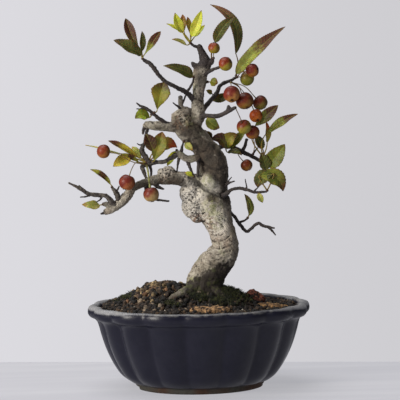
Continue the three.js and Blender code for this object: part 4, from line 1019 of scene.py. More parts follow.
# Where old bark is dark and rough, and painted shade under the knob and limbs: [centre, reach, strength]
GRIME_AND_SHADE = [
    [[14, -6, 203], 15, 1.0],
    [[8, -8, 213], 13, 1.0],
    [[0, -7, 222], 12, 0.9],
    [[26, -3, 188], 13, 1.0],
    [[28, -2, 172], 12, 0.85],
    [[13, -14, 172], 7, 0.7],
    [[-3, -7, 231], 11, 0.9],
    [[18, -9, 194], 11, 1.0],
    [[30, -6, 128], 11, 0.45],
    [[22, -8, 112], 10, 0.6],
    [[3, -4, 262], 8, 0.45],
    [[4, -4, 276], 8, 0.5],
    [[-9, -9, 232], 9, 0.8],
    [[-20, -16, 184], 12, 0.7],
    [[-52, -24, 181], 9, 0.5],
    [[12, -11, 244.5], 13, 1.0],
    [[26, -6, 172], 8, 0.9],
    [[26, -16, 247], 12, 1.0],
    [[44, 19, 209.5], 14, 0.6],
    [[-48, -19, 184], 11, 0.5],
    [[-36, -20, 184], 10, 0.55],
    [[-17, -9, 237], 9, 0.6],
    [[-4, -9, 244], 9, 0.6],
    [[14, -12, 116], 10, 0.4],
]
# Where old bark is bleached, and painted light on the lit burr and trunk front: [centre, reach, strength]
BLEACH_AND_LIGHT = [
    [[-8, -10, 171], 17, 1.0],
    [[-3, -12, 160], 13, 0.9],
    [[10, -14, 182], 10, 0.7],
    [[-28, -18, 197], 8, 0.5],
    [[13, -14, 146], 16, 0.85],
    [[12, -13, 130], 13, 0.3],
]
# Where thin wood is old and pale all the same: [centre, reach, strength]
PALE_SPURS = [
    [[-14, -2, 254], 10, 0.9],
    [[-10, -10, 208], 9, 0.6],
    [[-80, -26, 166], 6, 0.4],
]
# Where the bark is green with lichen: [centre, reach, strength]
LICHEN = [
    [[13, -14, 162], 11, 1.0],
    [[8, -14, 184], 9, 0.8],
    [[-9, -12, 96], 8, 1.0],
    [[-17, -21, 87], 11, 1.0],
    [[17, -12, 150], 9, 0.6],
    [[-6, -10, 240], 7, 0.5],
]
# Creases across the front of the wood: a route of [right, up], how deep and how broad
FOLDS = [
    [[[-1, 90], [0.3, 93], [1.2, 98.5], [4, 103.8], [7.6, 106]], 1.4, 1.1],
    [[[-6.5, 190.3], [-0.3, 185.7], [6, 179.3], [14, 176], [22, 172.5], [28.5, 172]], 1.9, 1.6],
    [[[2.7, 204], [8, 200], [13, 197.5], [19.7, 196.3], [28, 199.7]], 1.3, 1.2],
    [[[-6, 149], [0, 147], [5.5, 149.6]], 1.2, 1.0],
    [[[4, 134.6], [12.5, 131.5], [22, 133.2], [28, 137]], 1.0, 0.8],
    [[[7, 123.5], [15, 120.7], [26, 123.3]], 1.0, 0.8],
    [[[6, 145], [13.6, 142.3], [22, 144.5]], 1.0, 0.75],
    [[[7, 139.8], [15, 137], [24, 139.5]], 0.95, 0.75],
    [[[12, 128], [19, 126], [30, 129]], 1.0, 0.8],
    [[[9, 115], [17, 110.5], [27, 112]], 1.0, 0.8],
    [[[6, 150], [12, 147.5], [19, 149]], 0.95, 0.75],
    [[[12, 118], [19, 116], [28, 119]], 0.9, 0.7],
    [[[-8, 228], [-2, 224], [4, 226]], 0.9, 0.9],
    [[[-4, 216], [3, 212.5], [11, 214]], 0.9, 0.9],
]
OLD_TWIGS = ("antler", "drop", "spray_low", "limb_spur", "bridge_end")  # greyer than the rest
# Twigs that stand thicker than their routes say, by how many times
THICKER = {
    "antler": 1.35, "spray_low": 1.35, "limb_spur": 1.35, "bridge_end": 1.35, "drop": 1.2,
    "rise": 1.25,
}
SKIN_CELL = 0.69  # how fine the grown skin is
PIT_COUNT = 420
PIT_SEED = 41
PIT_DEPTH = 0.8  # the depth of the pits, over their radius
NEW_WOOD_HEIGHT = 284  # above it no young wood is weathered
WET_LINE = 97.2  # how high the wood is dark with damp, at the left of the trunk
TWIG_SIDES = 10
# What makes bark old, with its painted shade and light, all of it absent on young wood
OLD_MARKS = ("pit_and_crease_shade", "stain", "wet", "scar", "grime_and_shade", "bleach_and_light", "lichen")


def ball(centre, radii, rings=14, around=20):
    """A closed ellipsoid: points and faces."""
    angles = circle_angles(around)
    rows = []
    for i in range(1, rings):
        tilt = math.pi * i / rings
        flat = np.column_stack([np.cos(angles) * math.sin(tilt), np.sin(angles) * math.sin(tilt)])
        rows.append(np.column_stack([flat, np.full(around, -math.cos(tilt))]))
    points = np.vstack([*rows, [[0, 0, -1]], [[0, 0, 1]]])
    return np.array(centre) + points * np.array(radii), ring_faces(len(rows), around)


def grown_skin(shape):
    """One closed skin round overlapping closed shapes, in millimetres."""
    rough = bpy.data.meshes.new("rough_wood")
    rough.from_pydata(np.vstack(shape.points).tolist(), [], shape.faces)
    piece = link_mesh("rough_wood", rough)
    remesh = piece.modifiers.new("skin", "REMESH")
    remesh.mode = "VOXEL"
    remesh.voxel_size = SKIN_CELL
    relax = piece.modifiers.new("relax", "SMOOTH")
    relax.factor = 0.5
    relax.iterations = 4
    return evaluated_mesh(piece)


def nearest_route(points, routes):
    """For each point: the row and the direction of the route whose skin is nearest."""
    routes = [smooth_route(route, 1.5) for route in routes]
    samples = np.vstack(routes)
    along = np.vstack([unit(np.gradient(rows[:, :3], axis=0)) for rows in routes])
    chosen = []
    for start in range(0, len(points), 4000):
        away = points[start:start + 4000, None, :] - samples[None, :, :3]
        off = np.abs(np.linalg.norm(away, axis=2) - samples[:, 3])
        chosen.append(np.argmin(off, axis=1))
    chosen = np.concatenate(chosen)
    return samples[chosen], along[chosen]


def patches(points, table, column=0):
    """How strongly each point lies in a table's round patches."""
    total = np.zeros(len(points))
    for centre, reach, *strengths in table:
        distance = np.linalg.norm(points - np.array(centre), axis=1)
        total = np.maximum(total, strengths[column] * smoothstep(1.25 * reach, 0.35 * reach, distance))
    return total


def pit_marks(points):
    """Small round pits, closest together in the scars: how far each point sinks, and how dark it is."""
    random = np.random.default_rng(PIT_SEED)
    chance = 0.06 + patches(points, SCARS) ** 1.5
    picked = random.choice(len(points), size=PIT_COUNT, replace=False, p=chance / chance.sum())
    tree = kdtree.KDTree(len(points))
    for i, point in enumerate(points.tolist()):
        tree.insert(point, i)
    tree.balance()
    sunk = np.zeros(len(points))
    dark = np.zeros(len(points))
    for centre in picked:
        radius = random.uniform(0.7, 1.15)
        for _, i, distance in tree.find_range(points[centre].tolist(), radius):
            fall = 1 - (distance / radius) ** 2
            sunk[i] = max(sunk[i], PIT_DEPTH * radius * fall)
            dark[i] = max(dark[i], min(1, 1.6 * fall))
    return sunk, dark


def fold_marks(points, normals):
    """How deep the creases are at each point; they show on the faces that look to the front."""
    sunk = np.zeros(len(points))
    flat = points[:, [0, 2]] + 0.5 * np.column_stack([noise_at(points, 3.0, k) for k in (1.5, 6.5)])
    for route, depth, breadth in FOLDS:
        rows = smooth_route([[right, 0, up] for right, up in route], 0.6)
        distance = np.full(len(points), 1e9)
        for right, _, up in rows:
            distance = np.minimum(distance, np.hypot(flat[:, 0] - right, flat[:, 1] - up))
        broken = smoothstep(-0.3, 0.15, noise_at(points, 4.5, depth + breadth)) if depth <= 1 else 1
        sunk = np.maximum(sunk, depth * broken * np.exp(-(distance / breadth) ** 2))
    return sunk * smoothstep(0.1, -0.3, normals[:, 1])


def young_wood(radius, up):
    """How much a place looks like a dark young twig, from its thickness and height."""
    thin = 1 - smoothstep(2.3, 3.4, radius)
    top = smoothstep(283, 290, up)
    return np.maximum(thin, top)


def make_wood():
    """The trunk, limbs and roots under one bark skin, with wrinkles, pits, warts and folds."""
    shape = Shape()
    for i, route in enumerate(LIMBS.values()):
        rows = smooth_route(route, 2.0)
        sides = 28 if rows[:, 3].max() > 8 else 14
        shape.add(*tube(rows, sides, 0.1, 7.0, 3.1 * i))
    for centre, radii in SWELLINGS:
        shape.add(*ball(centre, radii))
    mesh = grown_skin(shape)
    points = mesh_points(mesh)
    normals = mesh_normals(mesh)
    rows, along = nearest_route(points, list(LIMBS.values()))
    radius = rows[:, 3]
    young = young_wood(radius, points[:, 2])
    weathered = 0.05 * smoothstep(-0.1, 0.35, noise_at(points, 3.5, 9.3))
    young = young * (1 - weathered * (points[:, 2] < NEW_WOOD_HEIGHT))
    young = young * (1 - patches(points, PALE_SPURS))
    thick = smoothstep(1.2, 6, radius)
    lengthwise = np.sum(points * along, axis=1)[:, None] * along
    squeezed = (points - lengthwise) / 3.2 + lengthwise / 0.75
    wrinkle = noise_at(squeezed, 1.0, 4.2)
    swell = 0.75 * noise_at(points, 8.5, 1.7) + 0.35 * noise_at(points, 3.6, 8.8)
    crumb = 0.16 * noise_at(points, 1.3, 5.5)
    scars = patches(points, SCARS)
    rough = 0.3 + 0.6 * scars
    lift = thick * (swell + 0.35 * wrinkle) + rough * noise_at(points, 2.1, 2.9) + crumb
    sunk, dark = pit_marks(points)
    folds = fold_marks(points, normals)
    points = points + normals * (lift - sunk * smoothstep(1.4, 4, radius) - folds)[:, None]
    # painted shade: the creases of the folds are darkened as the pits are
    pit_and_crease_shade = np.maximum(dark * smoothstep(1.4, 3.5, radius), 0.9 * smoothstep(0.2, 0.75, folds))
    waist = 0.25 + 0.6 * smoothstep(104, 112, points[:, 2]) * smoothstep(156, 146, points[:, 2])
    ring = smoothstep(0.15, 0.03, np.abs(wrinkle)) * smoothstep(-0.1, 0.35, noise_at(points, 4.5, 3.1))
    pit_and_crease_shade = np.maximum(pit_and_crease_shade, waist * ring * smoothstep(7, 10, radius))
    right, up = points[:, 0], points[:, 2]
    line = WET_LINE + 0.75 * np.clip(right + 6, 0, 20)
    above = up - line + 5 * noise_at(points, 6, 6.1) + 4.5 * noise_at(points, 2.4, 1.1)
    wet = 1 - smoothstep(-2.5, 2.5, above)
    wet = wet * (1 - 0.4 * smoothstep(-10, -15, right) * smoothstep(0.4, 0.8, radius / 5))
    grime_and_shade = patches(points, GRIME_AND_SHADE)
    # painted shade: thick wood is darkened on its side turned from the key lamp
    grime_and_shade = np.maximum(grime_and_shade, 0.42 * smoothstep(0.2, 0.9, normals @ unit((1, -0.1, -0.25))) * (radius > 4))
    grime_and_shade = grime_and_shade * smoothstep(-1.15, -0.2, noise_at(points, 7, 3.6) + 0.6 * noise_at(points, 2.5, 1.2))
    values = {
        "young": young,
        "pit_and_crease_shade": pit_and_crease_shade * (0.55 + 0.45 * smoothstep(-0.2, 0.4, noise_at(points, 4))),
        "stain": patches(points, SCARS, 1) * smoothstep(-0.25, 0.35, noise_at(points, 2.4, 7.7)),
        "wet": 0.97 * wet,
        "scar": scars,
        "grime_and_shade": grime_and_shade,
        "bleach_and_light": patches(points, BLEACH_AND_LIGHT),
        "lichen": patches(points, LICHEN),
    }
    move_mesh(mesh, points, BARK, TREE_TURN)
    dress_mesh(mesh, values=values)
    return finish_piece(link_mesh("bark_skin", mesh), "bark", "wood")


def make_twigs():
    """The thin twigs and thorns, with a bud's swelling every so often."""
    shape = Shape()
    for i, (name, route) in enumerate(TWIGS.items()):
        rows = smooth_route(route, 0.9)
        rows[:, 3] *= THICKER.get(name, 1)
        count = len(rows)
        sway = np.column_stack([noise_at(rows[:, :3], 5.0, 11 * i + k) for k in range(3)])
        rows[:, :3] += 0.35 * sway * np.minimum(1, np.arange(count) / 4)[:, None]
        rows[:, 3] *= 1 + 0.3 * np.maximum(0, noise_at(rows[:, :3], 2.6, 5.0 * i)) ** 1.5
        points, faces = tube(rows, TWIG_SIDES, 0.32, 1.3, 1.9 * i)
        values = dict.fromkeys(OLD_MARKS, np.zeros(len(points)))
        grey = 0.3 if name in OLD_TWIGS else 0.04
        values["young"] = 1 - grey * smoothstep(-0.1, 0.35, noise_at(points, 2.5, 4.9))
        shape.add(points, faces, values=values)
    return finish_piece(shape.piece("twigs", BARK), "bark")


# ---- Leaves ----

# A spray: [where its bud sits, its leaves]. A leaf: [base, tip, width, roll, fold, bow, sway, look,
# and for some its outline]. Roll turns its upper face away from the front about the midrib and fold
# lifts its two halves, in degrees. Bow and sway are how far the midrib's middle stands off the
# straight line, out of the face and across it. An outline above PLAIN_OUTLINE makes a leaf widest
# beyond its middle, with a blunt tip.
SPRAYS = {
    "rise": [[-47, -14.5, 296], [
        [[-47.5, -15, 299.5], [-71.5, -20, 313], 14, 30, 30, 2, -1, "dark"],
        [[-46.8, -14.5, 295.8], [-61.5, -11, 332], 10.5, 5, 30, -2, -1, "scorched", 1.9],
        [[-46, -16.5, 298.5], [-31, -23, 319.5], 9, -20, 30, 2, 1, "scorched", 1.75],
        [[-47.5, -12, 302.5], [-47, -6, 320.5], 6.5, 20, 25, 1, 0, "dark"],
    ]],
    "crown": [[-4.5, -3.5, 309.5], [
        [[-11, -5, 318.5], [-17.5, -8, 336], 9, 10, 20, 0, -1, "young"],
        [[-10, -2, 320], [-11, 1, 335], 6.5, 0, 25, 0, 0, "ginger", 1.1],
        [[-3.5, -4, 315], [5.5, -6, 338], 10, -10, 20, 1, 1, "young"],
        [[-4.5, 0, 318], [-6.5, 5, 333], 5.5, 10, 25, 0, 0, "ginger", 1.1],
        [[-12.5, -6.5, 319.5], [-25, -9, 327], 4.5, 40, 30, 0, 0, "young"],
        [[-0.5, -1, 315], [8.5, 3, 325.5], 5.5, -20, 25, 0, 0, "young"],
        [[-8, -5.5, 307.5], [-20.5, -9, 313], 4.5, 30, 30, 0, 1, "pale"],
    ]],
    "top": [[14.5, 0.5, 295], [
        [[17.5, 3.5, 309.5], [35, -4, 332.5], 11.5, -15, 25, 2, -1.5, "dark"],
    ]],
    "shoulder": [[36.5, 17, 279.5], [
        [[36.5, 17, 299.5], [14.5, 8, 343.5], 10.5, 10, 20, 1, 11, "tanned"],
        [[36.5, 15.5, 281.5], [79.5, 4, 323.5], 14.5, -26, 30, 2, -0.5, "split", 0.72],
    ]],
    "collar": [[-2, -8.5, 279], [
        [[-2.5, -9.5, 279.8], [-28, -18, 289.8], 11, 24, 20, 2, 0.8, "dark", 0.62],
    ]],
    "cheek": [[-37.5, -14, 248], [
        [[-35, -14, 249.3], [-28.5, -20, 274.5], 18.5, -8, 20, 2, 0, "olive", 1.9],
    ]],
    "lip": [[-40, -12.5, 246.5], [
        [[-42, -10.5, 243.5], [-54, -18, 243.5], 11.5, 22, 20, 1.5, 2.5, "lively", 1.0],
    ]],
    "heart": [[-42.5, -16.5, 205.5], [
        [[-38.5, -18, 205], [-30.5, -21, 231], 15, 0, 18, 1, 0.5, "yellowing", 1.35],
        [[-35.5, -15.5, 214.5], [-17.5, -12, 217], 13, -15, 18, 1, -4.5, "rust"],
        [[-38, -20, 213], [-44.5, -24, 229.5], 12, 12, 18, 1, 0, "bronze", 1.2],
    ]],
    "veil": [[-18, -8, 214], [
        [[-19, -5, 213], [-27, -3, 200], 7, 15, 22, 1, 0, "young"],
    ]],
    "fan": [[-45, -18, 204], [
        [[-49, -19, 206.5], [-77.5, -25, 224.5], 8.6, 26, 44, 1, 0, "rolled", 1.4],
        [[-52, -21, 205], [-66, -28, 213], 6.5, 35, 40, 0, 0, "striped"],
        [[-58, -14, 209], [-74.5, -17, 201], 11, 10, 16, 1, 1, "yellow"],
        [[-50, -13, 208.5], [-58, -8, 218], 7, 10, 20, 1, 0, "pale"],
        [[-68.5, -17.5, 212.5], [-98.5, -16, 221.5], 3, 62, 22, 0, -1.5, "pale"],
    ]],
    "horn": [[-75.5, -26, 183], [
        [[-76.5, -27, 185.5], [-93.5, -32, 199.5], 6.2, 26, 34, 1, 1.5, "striped", 1.0],
    ]],
    "tongue": [[-83.5, -27, 168], [
        [[-86.5, -27.5, 167.5], [-101.5, -34, 169], 9, 25, 24, 1, -1, "pale"],
    ]],
    "wing": [[60, 20, 206], [
        [[53, 12, 234], [73.5, 7, 252.5], 11, -8, 14, 1, 0, "half", 1.1],
        [[60, 19.5, 213], [53.5, 18, 226], 9, 12, 18, 1, 0, "dark"],
        [[65, 12, 228.5], [91, 8, 245], 9.5, -30, 26, 1, -0.5, "scorched"],
        [[64, 17, 219], [63.5, 14, 238], 7, 30, 30, 1, 0, "rust"],
    ]],
    "apron": [[26.5, 12, 215], [
        [[26, 8, 214.5], [13, 3, 222.5], 13, 24, 24, 1, 4.5, "bronze"],
        [[27, 9.5, 214.5], [36.5, 5, 227], 13.5, -16, 20, 1, -3, "yellowing"],
        [[28.5, 12, 214], [45, 10, 231], 9, -16, 22, 1, 0, "fresh"],
        [[28, 10, 210.5], [40.5, 6, 208.5], 7, -35, 26, 1, -1.5, "dark"],
    ]],
    "plate": [[61, 21, 199], [
        [[63.5, 20, 196.5], [79.5, 14, 217], 16.5, -10, 16, 2, 1, "fresh"],
        [[63.5, 18.5, 193.5], [58.5, 15, 209.5], 12, 12, 18, 1, 0, "dark"],
    ]],
    "arch": [[62, -16.5, 177.5], [
        [[56, -18.5, 190.5], [76.5, -15, 176.5], 16, -8, 18, 1.5, -6.5, "green", 0.86],
        [[66.5, -19, 192], [53.5, -15, 180], 13.5, 16, 18, 1, 4, "dark", 0.9],
    ]],
    "drip": [[54.5, -16, 175.5], [
        [[54, -17, 175], [58, -14.5, 166.5], 6.2, 0, 20, 0.5, 0, "pale", 0.7],
    ]],
    "sickle": [[45, 4, 151.5], [
        [[46, 3.5, 153.5], [42, 0, 173], 7.6, -22, 26, 1, 4.5, "dark", 0.95],
    ]],
    "ear": [[11, -10.5, 243], [
        [[9.5, -12.5, 242.5], [20.5, -11, 233.5], 11, -8, 18, 1, 1.5, "green"],
    ]],
    "nape": [[15.5, 12.5, 259.5], [
        [[16, 14.5, 257], [30.5, 21, 262], 9, -15, 20, 1, 0, "dark"],
        [[14.5, 13, 264], [9.5, 10, 267], 5, 20, 22, 0, 0, "fresh"],
    ]],
    "chin": [[10.5, 3, 274.5], [
        [[12.5, 2.5, 274.5], [19.5, -1, 273.5], 9, -15, 20, 0.5, 0, "yellowing", 1.2],
    ]],
    "tuft": [[-11.5, -11, 222], [
        [[-10.5, -11.5, 220.5], [-4, -14, 214], 7, -10, 20, 0.5, 0, "pale"],
    ]],
    "fleck": [[-3, -10, 190], [
        [[-4.5, -11.5, 191.5], [-11, -13.5, 194.5], 5, 25, 22, 0.5, 0, "young"],
    ]],
    "shade": [[6, 6, 230.5], [
        [[9, 9, 230], [13, 12, 222], 7, -10, 20, 0.5, 0, "dark"],
    ]],
    "back_low": [[16.5, 44.5, 202.5], [
        [[19, 48, 204.5], [24.5, 74, 207], 11.5, -60, 24, 3, 0, "green"],
        [[14.5, 48, 204], [7.5, 72, 204.5], 11.5, 50, 24, 3, 0, "yellowing"],
        [[16.5, 49, 200], [17.5, 78, 188], 11, 10, 24, 3, 0, "half"],
    ]],
    "back_side": [[9, 42.5, 199.5], [
        [[8.5, 45, 200.5], [9, 70, 194], 10, 60, 24, 3, 0, "fresh"],
    ]],
    "back_high": [[4, 34.5, 277], [
        [[5, 38, 279], [8.5, 64, 287.5], 11, -60, 24, 3, 0, "green"],
        [[2.5, 38, 276.5], [1, 66, 269], 11, 50, 24, 3, 0, "half"],
    ]],
}
SPRAY_SLOTS = {
    "crown": "leaf_young", "veil": "leaf_young", "fan": "leaf_ochre", "heart": "leaf_ochre",
    "horn": "leaf_ochre", "shoulder": "leaf_brown", "rise": "leaf_brown",
}
# A look: the blade's two tones, its tip's tone, from where along it the tip's tone starts, and how
# much the teeth are browned
LOOKS = {
    "young": ["#b3bf26", "#c9cb48", "#a67f32", 0.94, 0.05],
    "lively": ["#7d922a", "#92a236", "#4a3520", 0.86, 0.4],
    "scorched": ["#7f8a35", "#666c2d", "#4a2a20", 0.52, 0.55],
    "split": ["#989f48", "#858b40", "#573a2d", 0.48, 0.55],
    "rolled": ["#ada036", "#9c9436", "#4a2026", 0.68, 0.7],
    "olive": ["#6f721e", "#827b24", "#43301c", 0.8, 0.6],
    "fresh": ["#606b25", "#757b2d", "#6b5226", 0.9, 0.45],
    "pale": ["#a2a650", "#b6b067", "#9a7436", 0.85, 0.4],
    "green": ["#5a6423", "#74782c", "#5f3d20", 0.76, 0.6],
    # dark: a deep green, given also to leaves that hang in shade as painted shade
    "dark": ["#3c431c", "#525827", "#41281b", 0.82, 0.55],
    "tanned": ["#3f471d", "#525827", "#7c5946", 0.66, 0.55],
    "half": ["#737b2b", "#5f6526", "#472c20", 0.52, 0.7],
    "bronze": ["#545027", "#634a2b", "#3f261c", 0.42, 0.8],
    "yellowing": ["#747825", "#8a812c", "#6d3f20", 0.78, 0.75],
    "yellow": ["#c2b234", "#cdb948", "#7a4524", 0.93, 0.3],
    "striped": ["#98a03a", "#a9a648", "#4c2f1e", 0.9, 0.9],
    "ginger": ["#a3922f", "#a07c34", "#8f4a28", 0.74, 0.3],
    "rust": ["#8c8a30", "#958032", "#a8441e", 0.62, 0.5],
}
EDGE_BROWN = "#6b3a20"
PETIOLE_TONE = "#8a7a3c"
BUD_TONE = "#4a3328"
BLADE_HALF = 0.16  # half the blade's thickness
BLADE_COLUMNS = 15
ROW_STEP = 0.62
TOOTH_STEP = 1.9
VEIN_STEP = 2.9
UNDERSIDE_TONE = "#9aa078"
PETIOLE_RADIUS = 0.58
PLAIN_OUTLINE = 0.82
BUD_RADIUS = 1.3


def leaf_outline(s, outline):
    """How wide a leaf is at s along its midrib, as a share of its widest."""
    return np.sin(math.pi * np.clip(s, 0, 1) ** outline) ** 0.8


def leaf_axes(leaf):
    """A leaf's own directions: along the midrib, out of its upper face and across it."""
    base, tip = np.array(leaf[0], float), np.array(leaf[1], float)
    ahead = unit(tip - base)
    front = np.array((0.0, 0.0, 1.0) if abs(ahead[1]) > 0.8 else (0.0, -1.0, 0.0))
    front = unit(front - ahead * np.dot(ahead, front))
    front = rotated(front, ahead, math.radians(leaf[3]))
    return ahead, front, np.cross(ahead, front)


def leaf_tint(look, s, q, spots):
    """The colours of places on a blade, and how burnt they are."""
    first, second, tip, start, browning = LOOKS[look]
    broad = noise_at(spots, 7.0, 2.2)
    fine = noise_at(spots, 2.0, 6.6)
    mix = smoothstep(-0.3, 0.35, broad + 0.4 * fine)[:, None]
    tone = rgb(first) * (1 - mix) + rgb(second) * mix
    ended = smoothstep(start - 0.14, start + 0.16, s + 0.1 * fine + 0.12 * broad)
    if look == "striped":
        ended = np.maximum(ended, smoothstep(0.24, 0.12, np.abs(s - 0.5)))
    ended = ended[:, None]
    tone = tone * (1 - ended) + rgb(tip) * ended
    margin = 0.75 * browning * smoothstep(0.76, 1.0, np.abs(q) + 0.22 * fine)[:, None]
    tone = tone * (1 - 0.8 * margin) + rgb(EDGE_BROWN) * 0.8 * margin
    burnt = smoothstep(0.95, 1.03, s + 0.05 * fine)
    burnt = np.maximum(burnt, browning * smoothstep(0.93, 1.02, np.abs(q) + 0.12 * fine))
    return tone, burnt * smoothstep(0.0, 0.5, ended[:, 0] + browning - 0.2)


def add_blade(shape, leaf, seed):
    """One toothed, veined blade, closed all round."""
    base, tip, width, _, fold, bow, sway, look = leaf[:8]
    outline = leaf[8] if len(leaf) > 8 else PLAIN_OUTLINE
    base, tip = np.array(base, float), np.array(tip, float)
    length = float(np.linalg.norm(tip - base))
    ahead, front, side = leaf_axes(leaf)
    teeth = max(5, round(length / TOOTH_STEP))
    veins = max(5, round(length / VEIN_STEP))
    count = max(14, round(length / ROW_STEP))
    s = np.linspace(0, 1, count)
    arch = 4 * s * (1 - s)
    droop = 0.05 * length * np.maximum(0, s - 0.6) ** 2 / 0.16
    middle = base + np.outer(length * s, ahead) + np.outer(bow * arch - droop, front)
    middle = middle + np.outer(sway * arch, side)
    along = unit(np.gradient(middle, axis=0))
    across = unit(side - along * (along @ side)[:, None])
    up = np.cross(across, along)
    phase = (s * teeth) % 1.0
    saw = 1 + 0.11 * (phase - 0.62) * smoothstep(0.02, 0.15, s)
    reach = np.maximum(0.35, width / 2 * leaf_outline(s, outline) * saw)
    lift = math.radians(fold) * np.minimum(1, 4 * s + 0.2)
    q = np.linspace(-1, 1, BLADE_COLUMNS)
    q = np.sign(q) * np.abs(q) ** 0.85
    out = np.abs(q)
    ripple = noise.noise(Vector((seed, 0.3, 0.7)))
    swing = np.sin(2 * math.pi * (1.9 * s + ripple + 0.3))[:, None]
    wave = 0.05 * width * swing * out[None, :] ** 2 * np.sign(q)
    puff = 0.5 - 0.5 * np.cos(2 * math.pi * (s[:, None] * veins - 1.6 * out[None, :]))
    relief = 0.13 * puff * np.sin(math.pi * out)[None, :] + wave * np.minimum(1, 3 * (1 - s))[:, None]
    flat = (reach * np.cos(lift))[:, None] * q[None, :]
    high = (reach * np.sin(lift))[:, None] * (out * (1.12 - 0.12 * out))[None, :]
    top = (middle[:, None, :] + across[:, None, :] * flat[:, :, None]
           + up[:, None, :] * (high + relief)[:, :, None])
    half = BLADE_HALF * (1 + 1.6 * np.exp(-(q * width / 2 / 0.5) ** 2)) * (1 - 0.3 * out)
    under = top - up[:, None, :] * (half[None, :, None] + BLADE_HALF)
    ring = np.concatenate([top, under[:, ::-1, :]], axis=1)
    around = 2 * BLADE_COLUMNS
    points = np.vstack([ring.reshape(-1, 3), ring[0].mean(axis=0), ring[-1].mean(axis=0)])
    lengthwise = np.concatenate([np.repeat(s, around), [0, 1]])
    sideways = np.concatenate([np.tile(np.concatenate([q, q[::-1]]), count), [0, 0]])
    below = np.concatenate([np.tile(np.repeat([0.0, 1.0], BLADE_COLUMNS), count), [0, 0]])[:, None]
    tone, burnt = leaf_tint(look, lengthwise, sideways, points)
    tone = tone * (1 - 0.22 * below) + rgb(UNDERSIDE_TONE) * 0.22 * below
    values = {
        "lengthwise": lengthwise * veins,
        "sideways": sideways,
        "rib": sideways * np.concatenate([np.repeat(reach, around), [1, 1]]),
        "blade": np.ones(len(points)),
        "burnt": np.clip(burnt, 0, 1),
    }
    shape.add(points, ring_faces(count, around), {"tint": tone}, values)


def plain_values(count):
    """The blade's values where there are no veins and nothing is burnt."""
    return dict.fromkeys(("lengthwise", "sideways", "rib", "blade", "burnt"), np.zeros(count))


def add_petiole(shape, seat, leaf, seed):
    """The leaf's stem, from its bud in a curve that meets the midrib straight."""
    base, seat = np.array(leaf[0], float), np.array(seat, float)
    ahead, _, _ = leaf_axes(leaf)
    distance = float(np.linalg.norm(base - seat))
    bend = base - ahead * 0.45 * distance
    t = np.linspace(0, 1, max(5, round(distance / 0.9)))[:, None]
    rows = (1 - t) ** 2 * seat + 2 * t * (1 - t) * bend + t ** 2 * (base + ahead * 0.8)
    radius = PETIOLE_RADIUS * (1.15 - 0.45 * t)
    points, faces = tube(np.hstack([rows, radius]), 8, 0.08, 2.0, seed)
    look = LOOKS[leaf[7]]
    share = np.clip(noise_at(points, 4.0, seed) * 0.8 + 0.5, 0, 1)[:, None]
    tone = rgb(PETIOLE_TONE) * (1 - share) + (0.6 * rgb(look[0]) + 0.4 * rgb("#8f4a2c")) * share
    shape.add(points, faces, {"tint": tone}, plain_values(len(points)))


def add_bud(shape, seat, seed):
    """The scaly bud that a spray grows from."""
    points, faces = ball((0, 0, 0), (1, 1, 1), 9, 12)
    scales = 1 + 0.16 * noise_at(points, 0.5, seed) + 0.1 * np.sin(9 * points[:, 2])
    points = np.array(seat) + points * BUD_RADIUS * scales[:, None]
    tone = np.tile(rgb(BUD_TONE), (len(points), 1)) * (1 + 0.5 * noise_at(points, 0.6, 3.0))[:, None]
    shape.add(points, faces, {"tint": np.clip(tone, 0, 1)}, plain_values(len(points)))


def make_spray(index, name):
    """One spray: its bud, and its leaves on their stems."""
    seat, leaves = SPRAYS[name]
    shape = Shape()
    add_bud(shape, seat, index)
    for k, leaf in enumerate(leaves):
        add_petiole(shape, seat, leaf, index + 0.37 * k)
        add_blade(shape, leaf, 1.7 * index + 0.61 * k)
    spray = shape.piece(f"spray_{name}", BLADE)
    return finish_piece(spray, SPRAY_SLOTS.get(name, "leaf_green"), f"leaves_{name}")


# ---- Fruit ----

